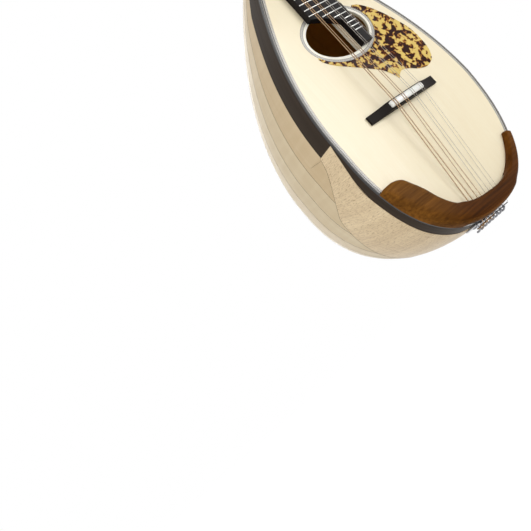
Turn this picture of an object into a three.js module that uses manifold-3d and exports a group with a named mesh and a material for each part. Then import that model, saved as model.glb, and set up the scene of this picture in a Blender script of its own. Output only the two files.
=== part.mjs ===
// Bowl back mandolin, upright with its head up and its soundboard forward. Millimetres.
// X runs from the bass side to the treble side, Y from the soundboard to the back,
// Z from the tail to the head. The origin lies on the centre line at the nut,
// in the plane of the soundboard.

import * as THREE from "three";
import { mergeVertices } from "three/addons/utils/BufferGeometryUtils.js";
import Module from "manifold-3d";

const wasm = await Module();
wasm.setup();

// Driving sizes
const SCALE_LENGTH = 330;
const BODY_LENGTH = 300;
const BODY_WIDTH = 197;
const BOWL_DEPTH = 149;
const TAIL_BEHIND_BRIDGE = 122;
const WIDEST_BEHIND_BRIDGE = 10;
const HEEL_DEPTH = 32;
const NUT_WIDTH = 28.8;
const HEEL_WIDTH = 38.6;
const CANT_DEGREES = 4;
const GAP = 0.3;
const OVERRUN = 40;

// Counts
const RIB_COUNT = 17;
const FRET_COUNT = 26;
const FRETS_PER_OCTAVE = 12;
const COURSE_COUNT = 4;
const TUNERS_PER_SIDE = 4;

// Thicknesses of the body
const BOWL_WALL = 2.5;
const SKIN = 1.2;
const BOARD_THICKNESS = 2.8;
const INLAY_DEPTH = 1;
const INLAY_FLOOR = 0.2;

// Edge of the soundboard
const BINDING_WIDTH = 2;
const PURFLING_WIDTH = 2.6;
const INLAY_GAP = 0.2;

// Dark side strips and end clasp
const STRIP_DEPTH = 21;
const STRIP_DEPTH_SHARE = 0.27;
const CLASP_FRONT_BEHIND_BRIDGE = -2;
const CLASP_DEPTH = 80;

// Sound hole, its rings and the plate beside it
const HOLE_ABOVE_BRIDGE = 81;
const HOLE_HALF_WIDTH = 38.9;
const HOLE_HALF_HEIGHT = 22.7;
const ROSETTE_WIDTH = 5.6;
const GUARD_THICKNESS = 0.6;
const GUARD_LEFT = 42;
const GUARD_WIDTH = 120.6;
const GUARD_LOW_ABOVE_BRIDGE = 13.5;
const GUARD_HEIGHT = 84.5;

// Fingerboard and frets
const FINGERBOARD_THICKNESS = 6.5;
const FINGERBOARD_END_ABOVE_BRIDGE = 101;
const EXTENSION_END_ABOVE_BRIDGE = 59.6;
const EXTENSION_HALF_WIDTH = 6.4;
const EXTENSION_CENTRE = 16.2;
const FRET_HEIGHT = 0.9;
const FRET_WIDTH = 1.1;
const FRET_SINK = 0.4;
const FRET_INSET = 0.5;

// Nut, bridge and saddle
const NUT_LENGTH = 4.4;
const NUT_HEIGHT = 8.2;
const BRIDGE_LENGTH = 99.4;
const BRIDGE_WIDTH = 9;
const BRIDGE_HEIGHT = 7.6;
const BRIDGE_END_HEIGHT = 2.6;
const SADDLE_LENGTH = 50;
const SADDLE_WIDTH = 7.2;
const SADDLE_HEIGHT = 3;
const SADDLE_BEVEL = 2.2;

// Neck and head
const NECK_DEPTH = 14.2;
const HEAD_PITCH_DEGREES = 12;
const HEAD_THICKNESS = 15;
const HEAD_LENGTH = 165;
const HEAD_FRONT_PROUD = 1;
const SHOULDER_WIDTH = 57;
const SHOULDER_HEIGHT_SHARE = 0.2667;

// Tuners
const TUNER_PITCH_SHARE = 0.1394;
const FIRST_GEAR_HEIGHT_SHARE = 0.3545;
const ROW_HALF_SPACING = 14.2;
const ROW_LEAN_DEGREES = 5.75;
const GEAR_TEETH = 14;
const GEAR_RADIUS = 5;
const GEAR_TIP = 0.45;
const GEAR_ROOT = 0.8;
const GEAR_THICKNESS = 4.4;
const GEAR_BORE = 2.6;
const WORM_RADIUS = 2.6;
const WORM_TIP = 0.4;
const WORM_ROOT = 0.65;
const WORM_LENGTH = 8.4;
const WORM_AXIS_HEIGHT = 3.6;
const PLATE_THICKNESS = 1.2;
const PLATE_WIDTH = 11;
const TAB_RADIUS = 4.6;
const LUG_THICKNESS = 1.2;
const LUG_WIDTH = 6;
const LUG_CORNER = 1.4;
const JOURNAL_RADIUS = 1.4;
const STEM_RADIUS = 1.8;
const BUTTON_CENTRE = 26.4;
const BUTTON_LENGTH = 15.5;
const BUTTON_WIDTH = 13.5;
const BUTTON_THICKNESS = 6.4;
const POST_RADIUS = 2.9;
const POST_LENGTH_FRONT = 14;
const POST_COLLAR_RADIUS = 3.7;
const POST_COLLAR_HEIGHT = 1;
const POST_SHANK_RADIUS = 2.2;
const POST_CHAMFER = 1.1;
const POST_HOLE_RADIUS = POST_RADIUS + 1.6 * GAP;
const EYELET_RADIUS = 0.9;
const EYELET_SHARE = 0.42;
const POST_SIDES = 8;
const EYELET_SIDES = 4;

// Strings
const STRING_RADII = [0.5, 0.34, 0.19, 0.15];
const COURSE_SPACING_NUT = 7;
const COURSE_SPACING_BRIDGE = 13;
const PAIR_SPACING_NUT = 2;
const PAIR_SPACING_BRIDGE = 2.9;
const HOOK_SPACING = 6;

// Armrest
const ARMREST_CROWN = 9.5;
const ARMREST_OVERHANG = 1.6;
const ARMREST_ARCH = 4.6;
const ARMREST_WIDTH = 30;

// Tailpiece
const TAIL_PLATE_WIDTH = 50;
const TAIL_PLATE_HEIGHT = 26;
const TAIL_PLATE_THICKNESS = 1.2;
const HOOK_RADIUS = 0.9;
const HOOK_REACH = 6;
const HOOK_DROP = 12;
const HOOK_ROOT_DROP = 4.2;

// Places worked out from the driving sizes
const BRIDGE_Z = -SCALE_LENGTH;
const TAIL_Z = BRIDGE_Z - TAIL_BEHIND_BRIDGE;
const HEEL_Z = TAIL_Z + BODY_LENGTH;
const WIDEST_Z = BRIDGE_Z - WIDEST_BEHIND_BRIDGE;
const UPPER_LENGTH = HEEL_Z - WIDEST_Z;
const LOWER_LENGTH = WIDEST_Z - TAIL_Z;
const HOLE_Z = BRIDGE_Z + HOLE_ABOVE_BRIDGE;
const RIM_SEAT = BOARD_THICKNESS + GAP;
const SADDLE_TOP = BRIDGE_HEIGHT + SADDLE_HEIGHT;
const SHOULDER_HEIGHT = HEAD_LENGTH * SHOULDER_HEIGHT_SHARE;
const TUNER_PITCH = HEAD_LENGTH * TUNER_PITCH_SHARE;
const FIRST_GEAR_HEIGHT = HEAD_LENGTH * FIRST_GEAR_HEIGHT_SHARE;
const WELD_DISTANCE = BODY_LENGTH / 3e6;
const SEARCH_STEPS = 40;
const DEGREE = Math.PI / 180;
const FULL_TURN = 2 * Math.PI;
const HALF_TURN = Math.PI;
const QUARTER_TURN = Math.PI / 2;

// Materials
function finish(color, roughness, metalness = 0) {
  return new THREE.MeshStandardMaterial({ color, roughness, metalness });
}
const materials = {
  spruce: finish(0xf3e6c8, 0.35),
  maple: finish(0xe4d6b4, 0.35),
  ebony: finish(0x2a2522, 0.45),
  darkStrip: finish(0x3b322b, 0.4),
  rosewood: finish(0x5e3a1c, 0.35),
  tortoise: finish(0x9c6a2c, 0.2),
  bone: finish(0xf4f1e6, 0.3),
  inlay: finish(0xb9b4a6, 0.35),
  chrome: finish(0xd6d8da, 0.15, 1),
  brass: finish(0xb4a86e, 0.35, 1),
  steel: finish(0xc4c6c8, 0.25, 1),
  copper: finish(0xb98a63, 0.35, 1),
  ivory: finish(0xfaf6e4, 0.25),
};

// Solids
const group = new THREE.Group();

function solidOf(geometry) {
  const bare = geometry.index ? geometry.toNonIndexed() : geometry.clone();
  bare.deleteAttribute("normal");
  bare.deleteAttribute("uv");
  const merged = mergeVertices(bare, WELD_DISTANCE);
  return new wasm.Manifold(
    new wasm.Mesh({
      numProp: 3,
      vertProperties: merged.attributes.position.array,
      triVerts: new Uint32Array(merged.index.array),
    }),
  );
}

function geometryOf(solid) {
  const mesh = solid.getMesh();
  const geometry = new THREE.BufferGeometry();
  geometry.setAttribute("position", new THREE.BufferAttribute(mesh.vertProperties, 3));
  geometry.setIndex(new THREE.BufferAttribute(mesh.triVerts, 1));
  const flat = geometry.toNonIndexed();
  flat.computeVertexNormals();
  return flat;
}

function union(...solids) {
  return solids.reduce((sum, solid) => sum.add(solid));
}

function addPiece(name, material, shape, parent = group) {
  const geometry = shape.isBufferGeometry ? shape : geometryOf(shape);
  const mesh = new THREE.Mesh(geometry, material);
  mesh.name = name;
  parent.add(mesh);
  return mesh;
}

// A closed solid through rings of equally many points; a ring may shrink to one point.
function loft(rings) {
  const positions = [];
  const addTriangle = (a, b, c) => {
    const shortest = Math.min(a.distanceTo(b), b.distanceTo(c), c.distanceTo(a));
    if (shortest < WELD_DISTANCE) return;
    positions.push(...a.toArray(), ...b.toArray(), ...c.toArray());
  };
  const count = rings[0].length;
  for (let i = 0; i + 1 < rings.length; i++) {
    for (let j = 0; j < count; j++) {
      const next = (j + 1) % count;
      addTriangle(rings[i][j], rings[i][next], rings[i + 1][next]);
      addTriangle(rings[i][j], rings[i + 1][next], rings[i + 1][j]);
    }
  }
  const addCap = (ring, forward) => {
    const centre = new THREE.Vector3();
    ring.forEach((point) => centre.addScaledVector(point, 1 / count));
    for (let j = 0; j < count; j++) {
      const next = (j + 1) % count;
      if (forward) addTriangle(centre, ring[j], ring[next]);
      else addTriangle(centre, ring[next], ring[j]);
    }
  };
  addCap(rings[0], false);
  addCap(rings[rings.length - 1], true);
  const geometry = new THREE.BufferGeometry();
  geometry.setAttribute("position", new THREE.Float32BufferAttribute(positions, 3));
  const solid = solidOf(geometry);
  return solid.volume() < 0 ? loft(rings.map((ring) => [...ring].reverse())) : solid;
}

// A shape drawn in X and Z, between two depths along Y.
function plate(shape, front, back, curveSegments = 8) {
  const geometry = new THREE.ExtrudeGeometry(shape, {
    depth: back - front,
    bevelEnabled: false,
    curveSegments,
  });
  geometry.rotateX(QUARTER_TURN);
  geometry.translate(0, back, 0);
  return solidOf(geometry);
}

// A shape drawn in Y and Z, between two places along X.
function sidePrism(points, left, right) {
  const shape = new THREE.Shape(points);
  const geometry = new THREE.ExtrudeGeometry(shape, { depth: right - left, bevelEnabled: false });
  const turn = new THREE.Matrix4().makeBasis(
    new THREE.Vector3(0, 1, 0),
    new THREE.Vector3(0, 0, 1),
    new THREE.Vector3(1, 0, 0),
  );
  geometry.applyMatrix4(turn);
  geometry.translate(left, 0, 0);
  return solidOf(geometry);
}

// A shape drawn in X and Y, between two heights.
function crossPlate(shape, low, high, curveSegments = 6) {
  const geometry = new THREE.ExtrudeGeometry(shape, {
    depth: high - low,
    bevelEnabled: false,
    curveSegments,
  });
  geometry.translate(0, 0, low);
  return solidOf(geometry);
}

function box(left, right, front, back, low, high) {
  const geometry = new THREE.BoxGeometry(right - left, back - front, high - low);
  geometry.translate((left + right) / 2, (front + back) / 2, (low + high) / 2);
  return solidOf(geometry);
}

// A turned solid about Y, from pairs of radius and place along Y.
function turned(profile, sides) {
  const points = profile.map(([radius, along]) => new THREE.Vector2(radius, along));
  const solid = solidOf(new THREE.LatheGeometry(points, sides));
  if (solid.volume() > 0) return solid;
  return solidOf(new THREE.LatheGeometry([...points].reverse(), sides));
}

function vector(x, z) {
  return new THREE.Vector2(x, z);
}

// Outline and bowl: half widths and depths follow one station list.
const UPPER_STEPS = 8;
const LOWER_STEPS = 8;
const OUTLINE_POWER = 2.35;
const DEPTH_POWER = 2.2;
const SECTION_POWER = 0.935;
const HALF_WIDTH = BODY_WIDTH / 2;

function shareCurve(first, second, endShare) {
  return new THREE.CubicBezierCurve(
    vector(0, 1),
    vector(first[0], first[1]),
    vector(second[0], second[1]),
    vector(1, endShare),
  );
}
const upperWidthShares = shareCurve([0.42, 1], [0.72, 0.55], HEEL_WIDTH / BODY_WIDTH);
const upperDepthShares = shareCurve([0.3, 1], [0.74, 0.7], HEEL_DEPTH / BOWL_DEPTH);

function shareAt(curve, along) {
  let low = 0;
  let high = 1;
  for (let step = 0; step < SEARCH_STEPS; step++) {
    const middle = (low + high) / 2;
    if (curve.getPoint(middle).x < along) low = middle;
    else high = middle;
  }
  return curve.getPoint((low + high) / 2).y;
}

function endShare(along, power) {
  return Math.max(0, 1 - along ** power) ** (1 / power);
}

function halfWidthAt(z) {
  if (z >= WIDEST_Z) {
    return HALF_WIDTH * shareAt(upperWidthShares, Math.min(1, (z - WIDEST_Z) / UPPER_LENGTH));
  }
  return HALF_WIDTH * endShare(Math.min(1, (WIDEST_Z - z) / LOWER_LENGTH), OUTLINE_POWER);
}

function depthAt(z) {
  if (z >= WIDEST_Z) {
    return BOWL_DEPTH * shareAt(upperDepthShares, Math.min(1, (z - WIDEST_Z) / UPPER_LENGTH));
  }
  return BOWL_DEPTH * endShare(Math.min(1, (WIDEST_Z - z) / LOWER_LENGTH), DEPTH_POWER);
}

// The soundboard bends back behind the bridge, and the rim follows it.
function rimDropAt(z) {
  return Math.max(0, WIDEST_Z - z) * Math.tan(CANT_DEGREES * DEGREE);
}

function stationHeights() {
  const heights = [];
  for (let i = 0; i <= UPPER_STEPS; i++) {
    heights.push(HEEL_Z - (UPPER_LENGTH * i) / UPPER_STEPS);
  }
  for (let i = 1; i <= LOWER_STEPS; i++) {
    const turn = (i / LOWER_STEPS) * QUARTER_TURN;
    heights.push(WIDEST_Z - LOWER_LENGTH * Math.sin(turn) ** (2 / OUTLINE_POWER));
  }
  return heights;
}
const stations = stationHeights();

function signedPower(value) {
  return Math.sign(value) * Math.abs(value) ** SECTION_POWER;
}

function bowlPoint(z, angle) {
  return new THREE.Vector3(
    -halfWidthAt(z) * signedPower(Math.cos(angle)),
    rimDropAt(z) + depthAt(z) * signedPower(Math.sin(angle)),
    z,
  );
}

const NORMAL_STEP = BODY_LENGTH / 10000;
const ANGLE_STEP = 0.001;

function bowlNormal(z, angle) {
  const nearTail = Math.max(z, TAIL_Z + NORMAL_STEP);
  const down = bowlPoint(nearTail - NORMAL_STEP, angle);
  const up = bowlPoint(Math.min(HEEL_Z, nearTail + NORMAL_STEP), angle);
  const along = up.sub(down);
  const round = bowlPoint(nearTail, angle + ANGLE_STEP).sub(bowlPoint(nearTail, angle - ANGLE_STEP));
  const normal = round.cross(along).normalize();
  const outward = bowlPoint(nearTail, angle).sub(new THREE.Vector3(0, rimDropAt(z), WIDEST_Z));
  return normal.dot(outward) < 0 ? normal.negate() : normal;
}

function insetBowlPoint(z, angle, inset) {
  if (z <= TAIL_Z) return new THREE.Vector3(0, rimDropAt(TAIL_Z), TAIL_Z + inset);
  const normal = bowlNormal(z, angle);
  const atRim = Math.abs(Math.sin(angle)) < ANGLE_STEP;
  if (atRim) normal.setY(0).normalize();
  return bowlPoint(z, angle).addScaledVector(normal, -inset);
}

function stripAngleAt(z) {
  const depth = depthAt(z);
  const share = depth > 0 ? Math.min(STRIP_DEPTH / depth, STRIP_DEPTH_SHARE) : STRIP_DEPTH_SHARE;
  return Math.asin(share ** (1 / SECTION_POWER));
}

// One section of the bowl: the two strip bands, then the ribs, flat between their seams.
function bowlRing(z, inset, bandInset) {
  const seam = stripAngleAt(z);
  const step = GAP / Math.max(GAP, depthAt(z));
  const ring = [insetBowlPoint(z, 0, bandInset), insetBowlPoint(z, seam, bandInset)];
  for (let rib = 0; rib <= RIB_COUNT; rib++) {
    const first = seam + step;
    const angle = first + ((HALF_TURN - 2 * first) * rib) / RIB_COUNT;
    ring.push(insetBowlPoint(z, angle, inset));
  }
  ring.push(insetBowlPoint(z, HALF_TURN - seam, bandInset));
  ring.push(insetBowlPoint(z, HALF_TURN, bandInset));
  return ring;
}

function bowlSolid(inset, bandInset) {
  return loft(stations.map((z) => bowlRing(z, inset, bandInset)));
}

// The space inside the bowl needs half the facets; its chords lie inside the wall.
const INSIDE_STEPS = 10;

function bowlSpace(inset) {
  const rings = stations
    .filter((z, i) => i % 2 === 0)
    .map((z) => {
      const ring = [];
      for (let i = 0; i <= INSIDE_STEPS; i++) {
        ring.push(insetBowlPoint(z, (HALF_TURN * i) / INSIDE_STEPS, inset));
      }
      return ring;
    });
  return loft(rings);
}

// The space behind the rim, from a given depth under the soundboard's face.
function behindRim(depth) {
  const far = BOWL_DEPTH + OVERRUN;
  const end = TAIL_Z - OVERRUN;
  return sidePrism(
    [
      vector(far, HEEL_Z + OVERRUN),
      vector(depth, HEEL_Z + OVERRUN),
      vector(depth, WIDEST_Z),
      vector(depth + rimDropAt(end), end),
      vector(far, end),
    ],
    -BODY_WIDTH,
    BODY_WIDTH,
  );
}

// A slab that follows the soundboard's bend, between two depths under its face.
function bentSlab(front, back) {
  const end = TAIL_Z - OVERRUN;
  const drop = rimDropAt(end);
  return sidePrism(
    [
      vector(front, HEEL_Z + OVERRUN),
      vector(front, WIDEST_Z),
      vector(front + drop, end),
      vector(back + drop, end),
      vector(back, WIDEST_Z),
      vector(back, HEEL_Z + OVERRUN),
    ],
    -BODY_WIDTH,
    BODY_WIDTH,
  );
}

function bentPlate(shape, front, back) {
  return plate(shape, -OVERRUN, OVERRUN).intersect(bentSlab(front, back));
}

// The outline from the treble heel round the tail to the bass heel, moved inward by an inset.
function outlineSide(inset) {
  return stations.map((z) => {
    const point = insetBowlPoint(z, HALF_TURN, inset);
    return vector(point.x, point.z);
  });
}

function outlineLine(inset) {
  const treble = outlineSide(inset);
  const bass = treble.slice(0, -1).reverse();
  return [...treble, ...bass.map((point) => vector(-point.x, point.y))];
}

function outlineShape(inset) {
  const line = outlineLine(inset);
  const corner = line[0].x;
  return new THREE.Shape([vector(corner, HEEL_Z - GAP), ...line, vector(-corner, HEEL_Z - GAP)]);
}

function bandShape(outerInset, innerInset) {
  return new THREE.Shape([...outlineLine(outerInset), ...outlineLine(innerInset).reverse()]);
}

function ellipseShape(halfWidth, halfHeight, segments) {
  const points = [];
  for (let i = 0; i < segments; i++) {
    const angle = (FULL_TURN * i) / segments;
    points.push(vector(halfWidth * Math.cos(angle), HOLE_Z + halfHeight * Math.sin(angle)));
  }
  return new THREE.Shape(points);
}
const HOLE_SEGMENTS = 28;

// Soundboard with its transverse braces and the support under the fingerboard's end
const BRACE_WIDTH = 6;
const BRACE_DEPTH = 11;
const BRACE_END_CLEARANCE = 9;
const BRACES_ABOVE_BRIDGE = [114, 50, -4];
const SUPPORT_DEPTH = 7.2;
const RISER_SHARE = 0.8;

function braceAt(z) {
  const reach = halfWidthAt(z) - BRACE_END_CLEARANCE;
  const end = reach - BRACE_DEPTH;
  const top = BOARD_THICKNESS - INLAY_FLOOR;
  const shape = new THREE.Shape([
    vector(-reach, top),
    vector(-end, BRACE_DEPTH),
    vector(end, BRACE_DEPTH),
    vector(reach, top),
  ]);
  return crossPlate(shape, z - BRACE_WIDTH / 2, z + BRACE_WIDTH / 2);
}

function makeSoundboard() {
  const rebate = BINDING_WIDTH + INLAY_GAP;
  const inner = rebate + PURFLING_WIDTH + INLAY_GAP;
  const inlayBack = INLAY_DEPTH + INLAY_FLOOR;
  const ringWidth = ROSETTE_WIDTH + INLAY_GAP;
  let board = bentPlate(outlineShape(rebate), 0, BOARD_THICKNESS);
  board = board.subtract(bentPlate(bandShape(0, inner), -OVERRUN / 2, inlayBack));
  board = board.subtract(
    plate(
      ellipseShape(HOLE_HALF_WIDTH + ringWidth, HOLE_HALF_HEIGHT + ringWidth, HOLE_SEGMENTS),
      -OVERRUN,
      inlayBack,
    ),
  );
  board = board.subtract(
    plate(ellipseShape(HOLE_HALF_WIDTH, HOLE_HALF_HEIGHT, HOLE_SEGMENTS), -OVERRUN, OVERRUN),
  );
  BRACES_ABOVE_BRIDGE.forEach((above) => {
    board = board.add(braceAt(BRIDGE_Z + above));
  });
  const support = box(
    EXTENSION_CENTRE - EXTENSION_HALF_WIDTH + FRET_WIDTH,
    EXTENSION_CENTRE + EXTENSION_HALF_WIDTH - FRET_WIDTH,
    inlayBack,
    SUPPORT_DEPTH,
    BRIDGE_Z + BRACES_ABOVE_BRIDGE[1],
    BRIDGE_Z + BRACES_ABOVE_BRIDGE[0],
  );
  const riser = box(
    EXTENSION_CENTRE - EXTENSION_HALF_WIDTH + FRET_WIDTH,
    EXTENSION_CENTRE + EXTENSION_HALF_WIDTH - FRET_WIDTH,
    GAP,
    SUPPORT_DEPTH,
    HOLE_Z - HOLE_HALF_HEIGHT * RISER_SHARE,
    HOLE_Z + HOLE_HALF_HEIGHT * RISER_SHARE,
  );
  return union(board, support, riser);
}
addPiece("soundboard", materials.spruce, makeSoundboard());

// Binding and purfling round the edge, rosette round the hole
addPiece("binding", materials.ebony, bentPlate(bandShape(0, BINDING_WIDTH), 0, BOARD_THICKNESS));
const purflingOuter = BINDING_WIDTH + 2 * INLAY_GAP;
addPiece(
  "purfling",
  materials.inlay,
  bentPlate(bandShape(purflingOuter, purflingOuter + PURFLING_WIDTH - INLAY_GAP), 0, INLAY_DEPTH),
);
addPiece(
  "rosette",
  materials.inlay,
  plate(
    ellipseShape(HOLE_HALF_WIDTH + ROSETTE_WIDTH, HOLE_HALF_HEIGHT + ROSETTE_WIDTH, HOLE_SEGMENTS),
    0,
    INLAY_DEPTH,
  ).subtract(
    plate(ellipseShape(HOLE_HALF_WIDTH, HOLE_HALF_HEIGHT, HOLE_SEGMENTS), -OVERRUN, OVERRUN),
  ),
);

// Tortoise plate: its lower edge runs to a tip, its lobe runs back to the rosette.
const GUARD_ARC_START_DEGREES = 33;
const GUARD_ARC_SWEEP_DEGREES = 190;
const GUARD_ARC_STEPS = 12;
const guardLowerShares = [
  [0.083, 0.515],
  [0.168, 0.443],
  [0.284, 0.346],
  [0.421, 0.22],
  [0.477, 0.129],
];
const guardTipShares = [0.503, 0.05];
const guardLobeShares = [
  [0.545, 0.095],
  [0.6, 0.109],
  [0.673, 0.077],
  [0.739, 0.03],
  [0.834, 0],
  [0.914, 0.028],
  [0.985, 0.154],
  [1, 0.278],
  [0.993, 0.437],
  [0.958, 0.564],
  [0.89, 0.735],
  [0.808, 0.883],
  [0.733, 0.97],
];

function guardPoint(shares) {
  return vector(
    -GUARD_LEFT + GUARD_WIDTH * shares[0],
    BRIDGE_Z + GUARD_LOW_ABOVE_BRIDGE + GUARD_HEIGHT * shares[1],
  );
}

function makeGuard() {
  const clearance = ROSETTE_WIDTH + GAP;
  const arc = [];
  for (let i = 0; i <= GUARD_ARC_STEPS; i++) {
    const share = i / GUARD_ARC_STEPS;
    const angle = (GUARD_ARC_START_DEGREES - GUARD_ARC_SWEEP_DEGREES * share) * DEGREE;
    arc.push(
      vector(
        (HOLE_HALF_WIDTH + clearance) * Math.cos(angle),
        HOLE_Z + (HOLE_HALF_HEIGHT + clearance) * Math.sin(angle),
      ),
    );
  }
  const tip = guardPoint(guardTipShares);
  const lower = new THREE.SplineCurve([arc[GUARD_ARC_STEPS], ...guardLowerShares.map(guardPoint), tip]);
  const lobe = new THREE.SplineCurve([tip, ...guardLobeShares.map(guardPoint), arc[0]]);
  const lowerPoints = lower.getPoints(10).slice(1, -1);
  const lobePoints = lobe.getPoints(26).slice(0, -1);
  return plate(new THREE.Shape([...arc, ...lowerPoints, ...lobePoints]), -GUARD_THICKNESS, 0);
}
addPiece("pickguard", materials.tortoise, makeGuard());

// Bowl of ribs, with a band left for each side strip and a recess for the end clasp
const BAND_INSET = SKIN + GAP;

function claspRegion(margin) {
  const front = BRIDGE_Z - CLASP_FRONT_BEHIND_BRIDGE + margin;
  const back = TAIL_Z - OVERRUN;
  const lowerEdge = new THREE.SplineCurve([
    vector(STRIP_DEPTH + 2 * GAP, front),
    vector(CLASP_DEPTH * 0.44, front - LOWER_LENGTH * 0.2),
    vector(CLASP_DEPTH * 0.78, front - LOWER_LENGTH * 0.43),
    vector(CLASP_DEPTH * 0.98, front - LOWER_LENGTH * 0.7),
    vector(CLASP_DEPTH * 1.04, front - LOWER_LENGTH * 0.96),
  ]).getPoints(6);
  const upper = [
    vector(STRIP_DEPTH * 0.95, back),
    vector(STRIP_DEPTH * 0.95, TAIL_Z),
    vector(STRIP_DEPTH * 0.8, WIDEST_Z - LOWER_LENGTH * 0.62),
    vector(STRIP_DEPTH * 0.6, WIDEST_Z - LOWER_LENGTH * 0.26),
    vector(RIM_SEAT + 2 * GAP, front),
  ].map((point) => vector(point.x - margin, point.y));
  const lower = lowerEdge.map((point) => vector(point.x + margin, point.y));
  return sidePrism(
    [...upper, ...lower, vector(CLASP_DEPTH * 1.06 + margin, back)],
    -BODY_WIDTH,
    BODY_WIDTH,
  );
}

const bowlInside = bowlSpace(BOWL_WALL);
const bowlRecess = bowlSolid(BAND_INSET, BAND_INSET);
const bowlSkin = bowlSolid(0, 0).subtract(bowlSolid(SKIN, SKIN));
const rimPrism = behindRim(RIM_SEAT);

function makeBowl() {
  const shell = bowlSolid(0, BAND_INSET).subtract(bowlInside).intersect(rimPrism);
  const recess = claspRegion(GAP).subtract(bowlRecess);
  return shell.subtract(recess);
}
addPiece("bowl_ribs", materials.maple, makeBowl());
addPiece("end_clasp", materials.maple, bowlSkin.intersect(claspRegion(0)));

// Side strips: the band of the skin between rim and first rib, ended where the clasp lies
function stripSkin(side) {
  const start = side < 0 ? 0 : HALF_TURN;
  const rings = stations.slice(0, -1).map((z) => {
    const seam = side < 0 ? stripAngleAt(z) : HALF_TURN - stripAngleAt(z);
    return [
      insetBowlPoint(z, start, 0),
      insetBowlPoint(z, seam, 0),
      insetBowlPoint(z, seam, SKIN),
      insetBowlPoint(z, start, SKIN),
    ];
  });
  return loft(rings).intersect(rimPrism).subtract(claspRegion(GAP));
}
addPiece("side_strip_bass", materials.darkStrip, stripSkin(-1));
addPiece("side_strip_treble", materials.darkStrip, stripSkin(1));

// Blocks inside the bowl at neck and tail
const BLOCK_INSET = BOWL_WALL + GAP;
const NECK_BLOCK_LENGTH = 34;
const TAIL_BLOCK_LENGTH = 18;
const TAIL_BLOCK_WIDTH = 64;
const TAIL_BLOCK_HEIGHT = 44;

function insideBlock(low, high, halfWidth, depth) {
  const room = bowlSpace(BLOCK_INSET).intersect(rimPrism);
  return room.intersect(box(-halfWidth, halfWidth, 0, depth, low, high));
}
addPiece(
  "neck_block",
  materials.maple,
  insideBlock(HEEL_Z - NECK_BLOCK_LENGTH, HEEL_Z, BODY_WIDTH, BOWL_DEPTH),
);
addPiece(
  "tail_block",
  materials.maple,
  insideBlock(TAIL_Z, TAIL_Z + TAIL_BLOCK_LENGTH, TAIL_BLOCK_WIDTH / 2, TAIL_BLOCK_HEIGHT),
);

// Fingerboard with its frets
function boardHalfWidthAt(z) {
  const share = z / HEEL_Z;
  return (NUT_WIDTH + (HEEL_WIDTH - NUT_WIDTH) * share) / 2;
}

const boardEndZ = BRIDGE_Z + FINGERBOARD_END_ABOVE_BRIDGE;
const extensionEndZ = BRIDGE_Z + EXTENSION_END_ABOVE_BRIDGE;
const extensionLeft = EXTENSION_CENTRE - EXTENSION_HALF_WIDTH;
const extensionRight = EXTENSION_CENTRE + EXTENSION_HALF_WIDTH;
const SLANT_DROP_SHARE = 0.143;
const slantShares = [
  [0, 0],
  [0.4, 0.28],
  [0.74, 0.66],
  [1, 1],
];

function slantPoints() {
  const corner = -boardHalfWidthAt(boardEndZ);
  const drop = FINGERBOARD_END_ABOVE_BRIDGE * SLANT_DROP_SHARE;
  return slantShares.map(([across, down]) =>
    vector(corner + (extensionLeft - corner) * across, boardEndZ - drop * down),
  );
}

function boardLeftAt(z) {
  if (z >= boardEndZ) return -boardHalfWidthAt(z);
  const points = slantPoints();
  for (let i = 0; i + 1 < points.length; i++) {
    if (z <= points[i].y && z >= points[i + 1].y) {
      const share = (points[i].y - z) / (points[i].y - points[i + 1].y);
      return points[i].x + (points[i + 1].x - points[i].x) * share;
    }
  }
  return extensionLeft;
}

function boardRightAt(z) {
  return Math.min(boardHalfWidthAt(z), z > boardEndZ ? BODY_WIDTH : extensionRight);
}

function fretAt(number) {
  const z = -SCALE_LENGTH * (1 - 2 ** (-number / FRETS_PER_OCTAVE));
  const base = -FINGERBOARD_THICKNESS + FRET_SINK;
  const top = -FINGERBOARD_THICKNESS - FRET_HEIGHT;
  return sidePrism(
    [
      vector(base, z - FRET_WIDTH / 2),
      vector(base, z + FRET_WIDTH / 2),
      vector(top, z + FRET_WIDTH / 4),
      vector(top, z - FRET_WIDTH / 4),
    ],
    boardLeftAt(z) + FRET_INSET,
    boardRightAt(z) - FRET_INSET,
  );
}

function makeFingerboard() {
  const topZ = -GAP;
  const half = boardHalfWidthAt(boardEndZ);
  const outline = new THREE.Shape([
    vector(boardHalfWidthAt(topZ), topZ),
    vector(-boardHalfWidthAt(topZ), topZ),
    ...slantPoints(),
    vector(extensionLeft, extensionEndZ),
    vector(extensionRight, extensionEndZ),
    vector(extensionRight, boardEndZ),
    vector(half, boardEndZ + extensionRight - half + FRET_WIDTH),
  ]);
  let board = plate(outline, -FINGERBOARD_THICKNESS, 0);
  for (let number = 1; number <= FRET_COUNT; number++) board = board.add(fretAt(number));
  return board;
}
addPiece("fingerboard", materials.ebony, makeFingerboard());

// Nut, bridge and saddle
function makeNut() {
  const half = NUT_WIDTH / 2;
  return sidePrism(
    [
      vector(0, 0),
      vector(0, NUT_LENGTH),
      vector(-NUT_HEIGHT * 0.75, NUT_LENGTH),
      vector(-NUT_HEIGHT, NUT_LENGTH * 0.3),
      vector(-NUT_HEIGHT, 0),
    ],
    -half,
    half,
  );
}
addPiece("nut", materials.bone, makeNut());

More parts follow.
